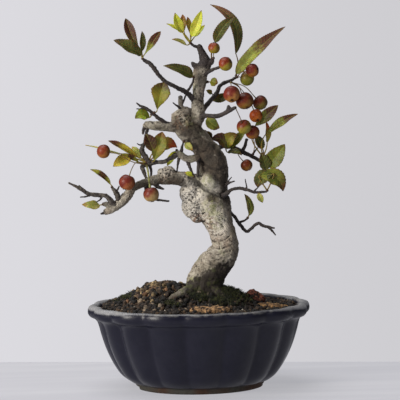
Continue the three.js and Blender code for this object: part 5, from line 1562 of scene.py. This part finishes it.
# A crabapple: its middle, its width, its stalk's route from the spur, its blush, its ground colour,
# its shaded side's colour and how much of it is blushed
CRABAPPLES = [
    [[16.5, -3, 304.5], 10.6, [[16, -2.5, 295.5], [16, -2.5, 297]], "#8f3d22", "#93842c", "#552213", 0.5],
    [
        [26.5, -10.5, 290.3], 12.6, [[21, -7, 287.5], [21.5, -7.5, 288]],
        "#86351e", "#948a30", "#5c2817", 0.6,
    ],
    [[50.8, 8, 284.3], 12.3, [[37.5, 15, 278.5], [41, 12.5, 282.5]], "#84322a", "#a06a2c", "#5a2119", 0.66],
    [
        [46.5, 18.5, 277], 13.2, [[37.5, 15, 278.5], [39.5, 16.5, 278.5]],
        "#7a5c26", "#7f8030", "#51431c", 0.3,
    ],
    [[32, 1, 263.3], 15.2, [[31.5, 14, 274], [31.5, 9, 273.5]], "#80302a", "#b07c48", "#4e1c17", 0.6],
    [[43.8, 9, 257], 16, [[31.5, 14, 274], [38, 13.5, 271]], "#742a1e", "#8c682c", "#4a1a12", 0.6],
    [[58, 17, 255], 13.6, [[31.5, 14, 274], [44.5, 18, 269.5]], "#742e20", "#807030", "#481b12", 0.55],
    [
        [53.8, 10, 243.5], 12, [[31.5, 14, 274], [40, 22, 268.5], [49, 21, 256]],
        "#a3481c", "#b9651f", "#702a12", 0.5,
    ],
    [[42.5, -3, 234], 13.3, [[34.5, -18, 251.5], [37, -12, 246.5]], "#78301c", "#938b38", "#502213", 0.5],
    [[50.5, 9, 228.5], 12.9, [[51, 19.5, 208], [52.5, 17, 215.5]], "#7d2e1c", "#93602a", "#4c1b12", 0.66],
    [[45, 15, 198.5], 11, [[35.5, 15, 212.5], [38.5, 14.5, 206.5]], "#7d3419", "#8f5f28", "#4e2011", 0.6],
    [
        [-82.3, -27, 214.8], 12.3, [[-45, -18, 202], [-57.5, -27.5, 205.5], [-69.5, -29.5, 212.5]],
        "#85361f", "#98602c", "#501f13", 0.62,
    ],
    [
        [-62, -32, 187.7], 14.5, [[-45, -18, 202], [-54, -27, 204.5], [-57.5, -31, 199.5]],
        "#762a22", "#a3603a", "#4e1d17", 0.7,
    ],
    [
        [-41, -27.5, 176.3], 14, [[-45, -18, 202], [-43.5, -24, 196], [-42.5, -27, 187]],
        "#762e26", "#ab9068", "#4c211a", 0.58,
    ],
]
BUNCHES = [[0], [1], [2, 3], [4, 5, 6, 7], [8], [9], [10], [11, 12, 13]]  # that share a spur
FRUIT_RINGS = 30
FRUIT_AROUND = 40
FRUIT_SHOULDER = 0.82
# A dried sepal's route: [how far out, how high, both over the fruit's half width, radius]
SEPAL = np.array([[0.08, -0.8, 0.42], [0.12, -0.9, 0.34], [0.2, -0.97, 0.24], [0.24, -0.96, 0.1]])
SEPAL_TONE = "#4a2f1e"
WARMTH = np.array((0.95, 0.97, 0.78))
STALK_RADIUS = 0.42
PALE_STALK = 13  # this fruit's stalk is thicker and paler than the rest
SUNWARD = unit((-0.55, -0.35, 0.75))


def turned_to(points, way):
    """Points turned so that +Z goes to way."""
    way = unit(way)
    axis = np.cross((0, 0, 1), way)
    size = np.linalg.norm(axis)
    if size < 1e-6:
        return points * (1, math.copysign(1, way[2]), math.copysign(1, way[2]))
    axis = axis / size
    angle = math.atan2(size, way[2])
    c, s = math.cos(angle), math.sin(angle)
    along = (points @ axis)[:, None] * axis
    return along + (points - along) * c + np.cross(axis, points) * s


def stalk_way(fruit):
    """From a fruit's middle towards the last place on its stalk's route."""
    return unit(np.array(fruit[2][-1], float) - np.array(fruit[0], float))


def make_crabapple(index, fruit):
    """One fruit: dimpled at its stalk, puckered round its dried calyx, and slightly uneven."""
    centre, width, _, blush, ground, shaded, share = fruit
    tilt = math.pi * np.arange(1, FRUIT_RINGS) / FRUIT_RINGS
    radial = np.sin(tilt) ** 0.94
    height = -0.95 * np.cos(tilt)
    height = height - 0.22 * np.exp(-(radial / 0.27) ** 2) * (height > 0)
    height = height + 0.16 * np.exp(-(radial / 0.2) ** 2) * (height < 0)
    angles = circle_angles(FRUIT_AROUND)
    rows = []
    for r, h in zip(radial, height):
        reach = r * (1 + 0.04 * np.cos(5 * angles + index) * (h < -0.5))
        flat = [reach * np.cos(angles), reach * np.sin(angles)]
        rows.append(np.column_stack([*flat, np.full(FRUIT_AROUND, h)]))
    points = np.vstack([*rows, [[0, 0, -0.84]], [[0, 0, 0.72]]])
    uneven = 1 + 0.035 * noise_at(points, 0.9, 3.3 * index)
    points = points * uneven[:, None]
    way = stalk_way(fruit)
    spots = turned_to(points * width / 2, way)
    facing = unit(spots)
    wobble = 0.28 * noise_at(spots, 3.2, 2.0 * index) + 0.12 * noise_at(spots, 1.1, 5.0 * index)
    sunny = facing @ SUNWARD + wobble
    red = smoothstep(0.45 - 1.1 * share, 1.25 - 1.2 * share, sunny)[:, None]
    dark = smoothstep(0.1, 0.9, facing @ unit((0.9, 0.2, 0.1)) + wobble)[:, None]
    tone = rgb(ground) * (1 - red) + rgb(blush) * red
    tone = (tone * (1 - 0.75 * dark) + rgb(shaded) * 0.75 * dark) * WARMTH
    tone = tone * (1.12 - 0.4 * smoothstep(-0.3, 0.9, facing[:, 2] + wobble))[:, None]
    husk = smoothstep(0.2, 0.1, np.hypot(points[:, 0], points[:, 1])) * (points[:, 2] < 0)
    shape = Shape()
    middle = np.array(centre, float)
    shape.add(middle + spots, ring_faces(len(rows), FRUIT_AROUND), {"tint": tone}, {"husk": husk})
    for k in range(5):
        turn = 2 * math.pi * (k + 0.3 * index) / 5
        out = np.array([math.cos(turn), math.sin(turn), 0])
        path = np.array([out * far + (0, 0, high) for far, high, _ in SEPAL])
        route = turned_to(path * width / 2, way)
        points, faces = tube(np.hstack([route, SEPAL[:, 2:]]), 6, 0.15, 0.8, index + k)
        count = len(points)
        tones = np.tile(rgb(SEPAL_TONE), (count, 1))
        shape.add(middle + points, faces, {"tint": tones}, {"husk": np.ones(count)})
    number = index + 1
    return finish_piece(shape.piece(f"fruit_{number}", FRUIT), "fruit", f"crabapple_{number}")


def make_stalks(number, members):
    """The stalks of one bunch, from the spur that they share."""
    shape = Shape()
    seat = CRABAPPLES[members[0]][2][0]
    points, faces = ball(seat, (BUD_RADIUS, BUD_RADIUS, BUD_RADIUS), 9, 12)
    points = points + 0.25 * noise_at(points, 0.9, number)[:, None]
    shape.add(points, faces, {"tint": np.tile(rgb(BUD_TONE), (len(points), 1))})
    for k in members:
        fruit = CRABAPPLES[k]
        pale = k == PALE_STALK
        end = np.array(fruit[0], float) + stalk_way(fruit) * (FRUIT_SHOULDER * fruit[1] / 2 - 0.4)
        rows = smooth_route([*fruit[2], end.tolist()], 0.9)
        t = np.linspace(0, 1, len(rows))
        swollen = 0.95 + 0.5 * np.exp(-(t / 0.12) ** 2) + 0.35 * smoothstep(0.8, 1, t)
        radius = (2.1 if pale else 1) * STALK_RADIUS * swollen
        points, faces = tube(np.hstack([rows, radius[:, None]]), 9, 0.1, 2.0, k)
        green = rgb("#a3a860" if pale else "#9a8c4c")
        mix = np.clip(0.5 + 0.9 * noise_at(points, 5.0, 4.0 * k), 0, 1)[:, None] * (0.3 if pale else 0.8)
        tone = green * (1 - mix) + rgb("#6e3a22") * mix
        shape.add(points, faces, {"tint": tone})
    return finish_piece(shape.piece(f"stalk_bunch_{number}", STALK), "stalk", f"stalks_{number}")


# ---- Loose pieces on the soil ----

# Bark chips: [right, back, length, width, thickness, turn, tone, how far it stands up in degrees]
CHIPS = {
    "bark_chip_1": [9, -50, 35, 13, 5.4, 4, "#c69c6e", 0],
    "bark_chip_2": [66, -14, 29, 14, 5, -6, "#ab8352", 0],
    "bark_chip_3": [51, 9, 19, 13, 5, 20, "#a65c48", 42],
}
# A chip's sheet from its upper face round its edge to its lower face: [share of its reach, level]
CHIP_LAYERS = [
    [0.02, 1], [0.35, 1], [0.6, 1], [0.8, 0.97], [0.93, 0.86], [1, 0.6],
    [1, 0.3], [0.96, 0.12], [0.8, 0.02], [0.5, 0], [0.25, 0], [0.02, 0],
]
CHIP_AROUND = 96
PEBBLE = [-70, -30, 5, 4.4, 3.4, 10]  # [right, back, length, width, thickness, turn]


def laid_on_soil(points, right, back, reach, turn, lift=0.0):
    """Points of a flat piece turned about its upright axis and laid on the slope of the soil."""
    c, s = math.cos(math.radians(turn)), math.sin(math.radians(turn))
    points = np.column_stack([
        points[:, 0] * c - points[:, 1] * s, points[:, 0] * s + points[:, 1] * c, points[:, 2]
    ])
    slope_right = (soil_height(right + reach, back) - soil_height(right - reach, back)) / (2 * reach)
    slope_back = (soil_height(right, back + reach) - soil_height(right, back - reach)) / (2 * reach)
    laid = turned_to(points, (-float(slope_right), -float(slope_back), 1))
    return laid + (right, back, float(soil_height(right, back)) + lift)


def make_chip(name, chip):
    """A torn flake of bark: a thick wavy sheet with a ragged edge and split ends."""
    right, back, length, width, thickness, turn, tone, standing = chip
    angles = circle_angles(CHIP_AROUND)
    circle = np.column_stack([3 * np.cos(angles), 3 * np.sin(angles), 0 * angles])
    ragged = 0.96 + 0.17 * noise_at(circle, 1.1, right) + 0.09 * noise_at(circle, 0.4, back)
    torn = 0.1 * np.abs(np.cos(angles)) ** 3 * np.sin(17 * angles + right)
    reach = (1 + torn) * ragged
    layers = []
    for share, level in CHIP_LAYERS:
        flat = [
            length / 2 * reach * share * np.cos(angles),
            width / 2 * reach * share * np.sin(angles),
        ]
        spots = np.column_stack([*flat, np.full(CHIP_AROUND, level * thickness)])
        ridge = 1.0 * noise_at(spots * (0.3, 1, 0.4), 1.6, back) + 0.9 * noise_at(spots, 2.6, right)
        spots[:, 2] += ridge * (0.25 + level) - 0.45 * thickness
        layers.append(spots)
    points = np.vstack([*layers, [layers[0].mean(axis=0)], [layers[-1].mean(axis=0)]])
    faces = [tuple(reversed(face)) for face in ring_faces(len(layers), CHIP_AROUND)]
    c, s = math.cos(math.radians(standing)), math.sin(math.radians(standing))
    x, y, z = points.T
    points = np.column_stack([x, y * c - z * s, y * s + z * c])
    points = laid_on_soil(points, right, back, length / 3, turn, 1.6 + 0.33 * width * s)
    shade = np.clip(0.5 + noise_at(points, 3.5, 4.4), 0, 1)[:, None]
    tones = rgb(tone) * (0.45 + 0.9 * shade)
    shape = Shape()
    shape.add(points, faces, {"tint": np.clip(tones, 0, 1)})
    return finish_piece(shape.piece(f"flake_{name[-1]}", FLAKE), "bark_chip", name)


def make_pebble():
    """A small pale stone, a little sunk into the soil."""
    right, back, length, width, thickness, turn = PEBBLE
    points, faces = ball((0, 0, 0), (length / 2, width / 2, thickness / 2), 18, 26)
    points = points * (1 + 0.13 * noise_at(points, 1.6, 2.2))[:, None] + (0, 0, 0.05 * thickness)
    shape = Shape()
    shape.add(laid_on_soil(points, right, back, length / 3, turn), faces)
    return finish_piece(shape.piece("small_stone", STONE), "stone", "pebble_1")


# ---- Grains and moss ----

TRUNK_FOOT = (3, 0, 19, 15)  # right, back and half widths of the wood at the soil
GROUND_RIGHT, GROUND_BACK = 88, 68  # half sizes of the field where places for grains are drawn
GRAINS_REACH = 86.5  # how far out grains lie, measured along the pot's width
GRANULES_COUNT = 2700
GRANULES_SEED = 7
GRANULES_DARK = ("#1d150f", "#2e2116", "#140f0a", "#3b2a1a", "#241a12", "#4d3a26", "#0f0c08")
GRANULES_STRAW = ("#776247", "#8e7753", "#594634", "#a59069", "#79573b")
GRIT_COUNT = 1500
GRIT_SEED = 19
GRIT_TONES = ("#1e1610", "#3a2a1c", "#6d5238", "#8f7a58", "#57412b", "#2b2018")
WHITE_STONE_TONE = "#cfc8ba"
WHITE_STONES = ((-57, -38, 3.4), (-66, -33, 2.6), (-30, -52, 2.2), (38, -44, 2.4))  # right, back, size


def ground_place(random, keep):
    """A random place on the soil, taken where keep(right, back) is high."""
    while True:
        right = random.uniform(-GROUND_RIGHT, GROUND_RIGHT)
        back = random.uniform(-GROUND_BACK, GROUND_BACK)
        inside = math.hypot(right, back / POT_DEPTH_RATIO) < GRAINS_REACH
        if inside and random.random() < keep(right, back):
            return right, back


def grain(right, back, lift, size, tone):
    """A grain at a lift over the soil, as a row of its place, its size and its tone."""
    return [right, back, float(soil_height(right, back)) + lift, size, *np.clip(tone, 0, 1)]


def grain_tree(name, material):
    """Geometry nodes that put a grain, turned and stretched by chance, on every point of a mesh."""
    n, given, out, sockets = geometry_tree(name, {"Roughness": "NodeSocketFloat", "Seed": "NodeSocketInt"})

    def chance(low, high):
        inputs = {0: low, 1: high, "Seed": given["Seed"]}
        return n.add("FunctionNodeRandomValue", inputs, data_type="FLOAT_VECTOR").outputs[0]

    grain = n.add("GeometryNodeMeshIcoSphere", {"Radius": 0.5 * MM, "Subdivisions": 1})
    turn = chance((0.0, 0.0, 0.0), (6.3, 6.3, 6.3))
    stretch = chance((0.75, 0.6, 0.5), (1.25, 1.0, 0.9))
    size = n.add("GeometryNodeInputNamedAttribute", {"Name": "size"}, data_type="FLOAT").outputs[0]
    scale = n.add("ShaderNodeVectorMath", {0: stretch}, operation="SCALE")
    n.feed(scale, "Scale", size)
    placed = n.add("GeometryNodeInstanceOnPoints", {
        "Points": given["Geometry"], "Instance": grain.outputs["Mesh"], "Rotation": turn,
        "Scale": scale.outputs[0],
    })
    real = n.add("GeometryNodeRealizeInstances", {"Geometry": placed.outputs[0]})
    place = n.add("GeometryNodeInputPosition").outputs[0]
    bumps = n.add("ShaderNodeTexNoise", {"Vector": place, "Scale": 420.0, "Detail": 1.0}).outputs["Color"]
    shift = n.add("ShaderNodeVectorMath", {0: bumps, 1: (0.5, 0.5, 0.5)}, operation="SUBTRACT").outputs[0]
    moved = n.add("ShaderNodeVectorMath", {0: shift}, operation="SCALE")
    n.feed(moved, "Scale", given["Roughness"])
    uneven = n.add("GeometryNodeSetPosition", {"Geometry": real.outputs[0], "Offset": moved.outputs[0]})
    done = n.add("GeometryNodeSetMaterial", {"Geometry": uneven.outputs[0], "Material": material})
    n.feed(out, 0, done.outputs[0])
    return n.tree, sockets


def scatter(name, rows, seed, roughness):
    """One mesh of rough grains from their rows; roughness is how far their faces are pushed about."""
    rows = np.array(rows)
    mesh = bpy.data.meshes.new(name)
    mesh.from_pydata(to_row(rows[:, :3], TREE_TURN).tolist(), [], [])
    dress_mesh(mesh, {"tone": rows[:, 4:]}, {"size": rows[:, 3]})
    tree, sockets = grain_tree(name, GRANULES)
    settings = {sockets["Roughness"]: roughness * MM, sockets["Seed"]: seed}
    made = run_tree(link_mesh(name, mesh), tree, settings)
    made.polygons.foreach_set("use_smooth", [True] * len(made.polygons))
    return finish_piece(link_mesh(name, made), "soil")


def clear_of_wood(right, back):
    """Whether a place on the soil is outside the trunk's foot."""
    x, y, half_right, half_back = TRUNK_FOOT
    return math.hypot((right - x) / half_right, (back - y) / half_back) > 1


ROOT_ROWS = np.vstack([smooth_route(LIMBS[name], 2.0) for name in ("root_left", "root_right")])


def clear_of_roots(right, back):
    """Whether a place on the soil is beside the front roots."""
    away = np.hypot(ROOT_ROWS[:, 0] - right, ROOT_ROWS[:, 1] - back)
    return bool(np.all(away > ROOT_ROWS[:, 3] * 0.8))


def clear_of_chips(right, back, margin=2.2):
    """Whether a place on the soil is beside every bark chip, by a margin."""
    for x, y, length, width, *_ in CHIPS.values():
        if math.hypot((right - x) / (length / 2 + margin), (back - y) / (width / 2 + margin)) < 1:
            return False
    return True


def make_granules():
    """The top layer of granular soil, with many straw-coloured grains at the left and the far right."""
    random = np.random.default_rng(GRANULES_SEED)
    rows = []
    dark = [rgb(tone) for tone in GRANULES_DARK]
    straw = [rgb(tone) for tone in GRANULES_STRAW]

    def keep(right, back):
        if not clear_of_chips(right, back) or not clear_of_roots(right, back):
            return 0.02
        return 1.0 if clear_of_wood(right, back) else 0.15

    for _ in range(GRANULES_COUNT):
        right, back = ground_place(random, keep)
        size = random.uniform(2.6, 5.4) + 1.9 * math.exp(-((right + 45) / 28) ** 2)
        tone = dark[random.integers(len(dark))] * random.uniform(0.6, 1.25)
        clump = math.exp(-((right + 40) / 17) ** 2 - ((back + 4) / 20) ** 2)
        east = math.exp(-((right - 72) / 13) ** 2 - ((back + 2) / 24) ** 2)
        if random.random() < 0.85 * clump + 0.35 * east:
            tone = straw[random.integers(len(straw))] * random.uniform(0.4, 1.6)
        elif random.random() < 0.05:
            tone = rgb("#8a7a66") * random.uniform(0.7, 1.1)
        rows.append(grain(right, back, size * random.uniform(-0.1, 0.42), size, tone))
    return scatter("soil_granules", rows, GRANULES_SEED, 1.1)


def make_grit():
    """Fine bits between the granules: dark crumbs, straw-coloured shreds and a few white stones."""
    random = np.random.default_rng(GRIT_SEED)
    rows = []
    palette = [rgb(tone) for tone in GRIT_TONES]
    for _ in range(GRIT_COUNT):
        right, back = ground_place(random, lambda x, y: 1.0 if clear_of_chips(x, y, 0) else 0.1)
        size = random.uniform(0.8, 1.9)
        tone = palette[random.integers(len(palette))] * random.uniform(0.7, 1.2)
        rows.append(grain(right, back, random.uniform(0.6, 2.4), size, tone))
    for right, back, size in WHITE_STONES:
        rows.append(grain(right, back, 1.6, size, rgb(WHITE_STONE_TONE)))
    return scatter("soil_grit", rows, GRIT_SEED, 0.5)


MOSS_SEED = 29
MOSS_TONES = ("#20240f", "#2d3214", "#40461b", "#171b0b", "#545526")
TUFT_BLADES = 6
# Moss: [right, back, spread right, spread back, tufts]
MOSS_PATCHES = [
    [30, -12, 15, 12, 330],
    [22, -30, 14, 8, 170],
    [-1, -24, 9, 6, 90],
    [-68, -6, 9, 10, 110],
    [-28, -40, 12, 6, 60],
    [12, 30, 22, 14, 220],
    [-40, 34, 16, 10, 90],
]


def make_moss():
    """Tufts of moss: short curved blades that lean out from each tuft's foot."""
    random = np.random.default_rng(MOSS_SEED)
    shape = Shape()
    tones = [rgb(tone) for tone in MOSS_TONES]
    for x, y, spread_right, spread_back, count in MOSS_PATCHES:
        for _ in range(count):
            right = x + random.normal() * spread_right * 0.5
            back = y + random.normal() * spread_back * 0.5
            if not clear_of_chips(right, back):
                continue
            level = float(soil_height(right, back)) + random.uniform(0.6, 2.0)
            tone = tones[random.integers(len(tones))] * random.uniform(0.7, 1.3)
            for _ in range(TUFT_BLADES):
                way = random.uniform(0, 2 * math.pi)
                lean = random.uniform(0.3, 1.1)
                height = random.uniform(1.5, 4.0)
                foot = np.array([right, back, level])
                out = np.array([math.cos(way) * lean, math.sin(way) * lean, 1.0]) * height
                bend = foot + out * 0.55 + (0, 0, 0.25 * height)
                rows = np.array([[*foot, 0.28], [*bend, 0.2], [*(foot + out), 0.05]])
                points, faces = tube(rows, 3)
                shape.add(points, faces, {"tone": np.tile(np.clip(tone, 0, 1), (len(points), 1))})
    return finish_piece(shape.piece("moss_tufts", MOSS), "soil")


# ---- Build ----

make_pot()
make_soil()
make_wood()
make_twigs()
for spray_index, spray_name in enumerate(SPRAYS):
    make_spray(spray_index, spray_name)
for fruit_index, fruit_row in enumerate(CRABAPPLES):
    make_crabapple(fruit_index, fruit_row)
for bunch_index, bunch in enumerate(BUNCHES):
    make_stalks(bunch_index + 1, bunch)
for chip_name, chip_row in CHIPS.items():
    make_chip(chip_name, chip_row)
make_pebble()
make_granules()
make_grit()
make_moss()

for kind, material in (("drainage_screen", NETTING), ("screen_clip", WIRE)):
    for number in (1, 2):
        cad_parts[f"{kind}_{number}"].data.materials.clear()
        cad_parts[f"{kind}_{number}"].data.materials.append(material)

# ---- Floor, backdrop, light and camera ----

AIM = Vector(to_row([[2.2, 0, 168.6]], TREE_TURN)[0])
CAMERA_DISTANCE = 1.5
CAMERA_AZIMUTH = math.radians(-4.3)
CAMERA_ELEVATION = math.radians(4.4)
CAMERA_ROLL = math.radians(-0.8)
CAMERA_LENS = 150
BOARD_TURN = math.radians(-8.5)
SENSOR = 36
WORLD_LIGHT = 0.2
# Lamps that face the tree: name, place, size and power, tone
LAMPS = [
    ["key", (-1.75, -1.15, 0.72), 1.0, 47, "#fffaf2"],
    ["fill", (1.2, -2.0, 0.9), 1.4, 2, "#eef2ff"],
    ["top", (-0.5, 0.25, 2.2), 1.9, 40, "#ffffff"],
]


def make_floor():
    """A board whose rounded back edge lies a little way behind the pot, square to the camera."""
    half, front, back, curve, drop, steps = 3.0, -3.0, 0.15, 0.03, 0.6, 8
    rows = [(front, 0.0)]
    for k in range(steps + 1):
        turn = math.pi / 2 * k / steps
        rows.append((back - curve + curve * math.sin(turn), curve * (math.cos(turn) - 1)))
    rows.append((back, -drop))
    c, s = math.cos(BOARD_TURN), math.sin(BOARD_TURN)
    points = [(x * c - y * s, x * s + y * c, z) for y, z in rows for x in (-half, half)]
    faces = [(2 * k, 2 * k + 1, 2 * k + 3, 2 * k + 2) for k in range(len(rows) - 1)]
    mesh = bpy.data.meshes.new("floor")
    mesh.from_pydata(points, [], faces)
    mesh.materials.append(FLOOR)
    mesh.polygons.foreach_set("use_smooth", [True] * len(mesh.polygons))
    link_mesh("floor", mesh)


def soft_light(name, place, size, power, tone):
    """A round lamp that faces the tree."""
    lamp = bpy.data.lights.new(name, "AREA")
    lamp.shape = "DISK"
    lamp.size = size
    lamp.energy = power
    lamp.color = colour(tone)[:3]
    holder = bpy.data.objects.new(name, lamp)
    holder.location = place
    holder.rotation_euler = (AIM - Vector(place)).to_track_quat("-Z", "Y").to_euler()
    bpy.context.scene.collection.objects.link(holder)


def make_camera():
    """The camera looks at the trunk from its azimuth and elevation, rolled a little."""
    a, e = CAMERA_AZIMUTH, CAMERA_ELEVATION
    offset = Vector((math.sin(a) * math.cos(e), -math.cos(a) * math.cos(e), math.sin(e)))
    lens = bpy.data.cameras.new("camera")
    lens.lens = CAMERA_LENS
    lens.sensor_width = SENSOR
    lens.clip_start = 0.05
    lens.clip_end = 20
    camera = bpy.data.objects.new("camera", lens)
    camera.location = AIM + offset * CAMERA_DISTANCE
    look = (-offset).to_track_quat("-Z", "Y").to_matrix()
    camera.rotation_euler = (look @ Matrix.Rotation(CAMERA_ROLL, 3, "Z")).to_euler()
    bpy.context.scene.collection.objects.link(camera)
    bpy.context.scene.camera = camera


def make_world():
    """A pale wall all round, far off, that gives less light than it shows."""
    world = bpy.data.worlds.new("world")
    world.use_nodes = True
    n = Nodes(world.node_tree)
    way = n.add("ShaderNodeSeparateXYZ", {0: n.object_place()}).outputs
    wall = n.blend(n.ramp(way["X"], -0.08, 0.22), "#dcdbe0", "#cecdd1")
    seen = n.add("ShaderNodeBackground", {"Color": wall, "Strength": 1.0})
    given = world.node_tree.nodes["Background"]
    n.feed(given, "Color", "#e2e2ea")
    n.feed(given, "Strength", WORLD_LIGHT)
    mixed = n.add("ShaderNodeMixShader", {0: n.add("ShaderNodeLightPath").outputs["Is Camera Ray"]})
    n.feed(mixed, 1, given.outputs[0])
    n.feed(mixed, 2, seen.outputs[0])
    n.feed(world.node_tree.nodes["World Output"], "Surface", mixed.outputs[0])
    bpy.context.scene.world = world


make_floor()
make_world()
for lamp_row in LAMPS:
    soft_light(*lamp_row)
make_camera()
bpy.context.scene.view_settings.view_transform = "Standard"
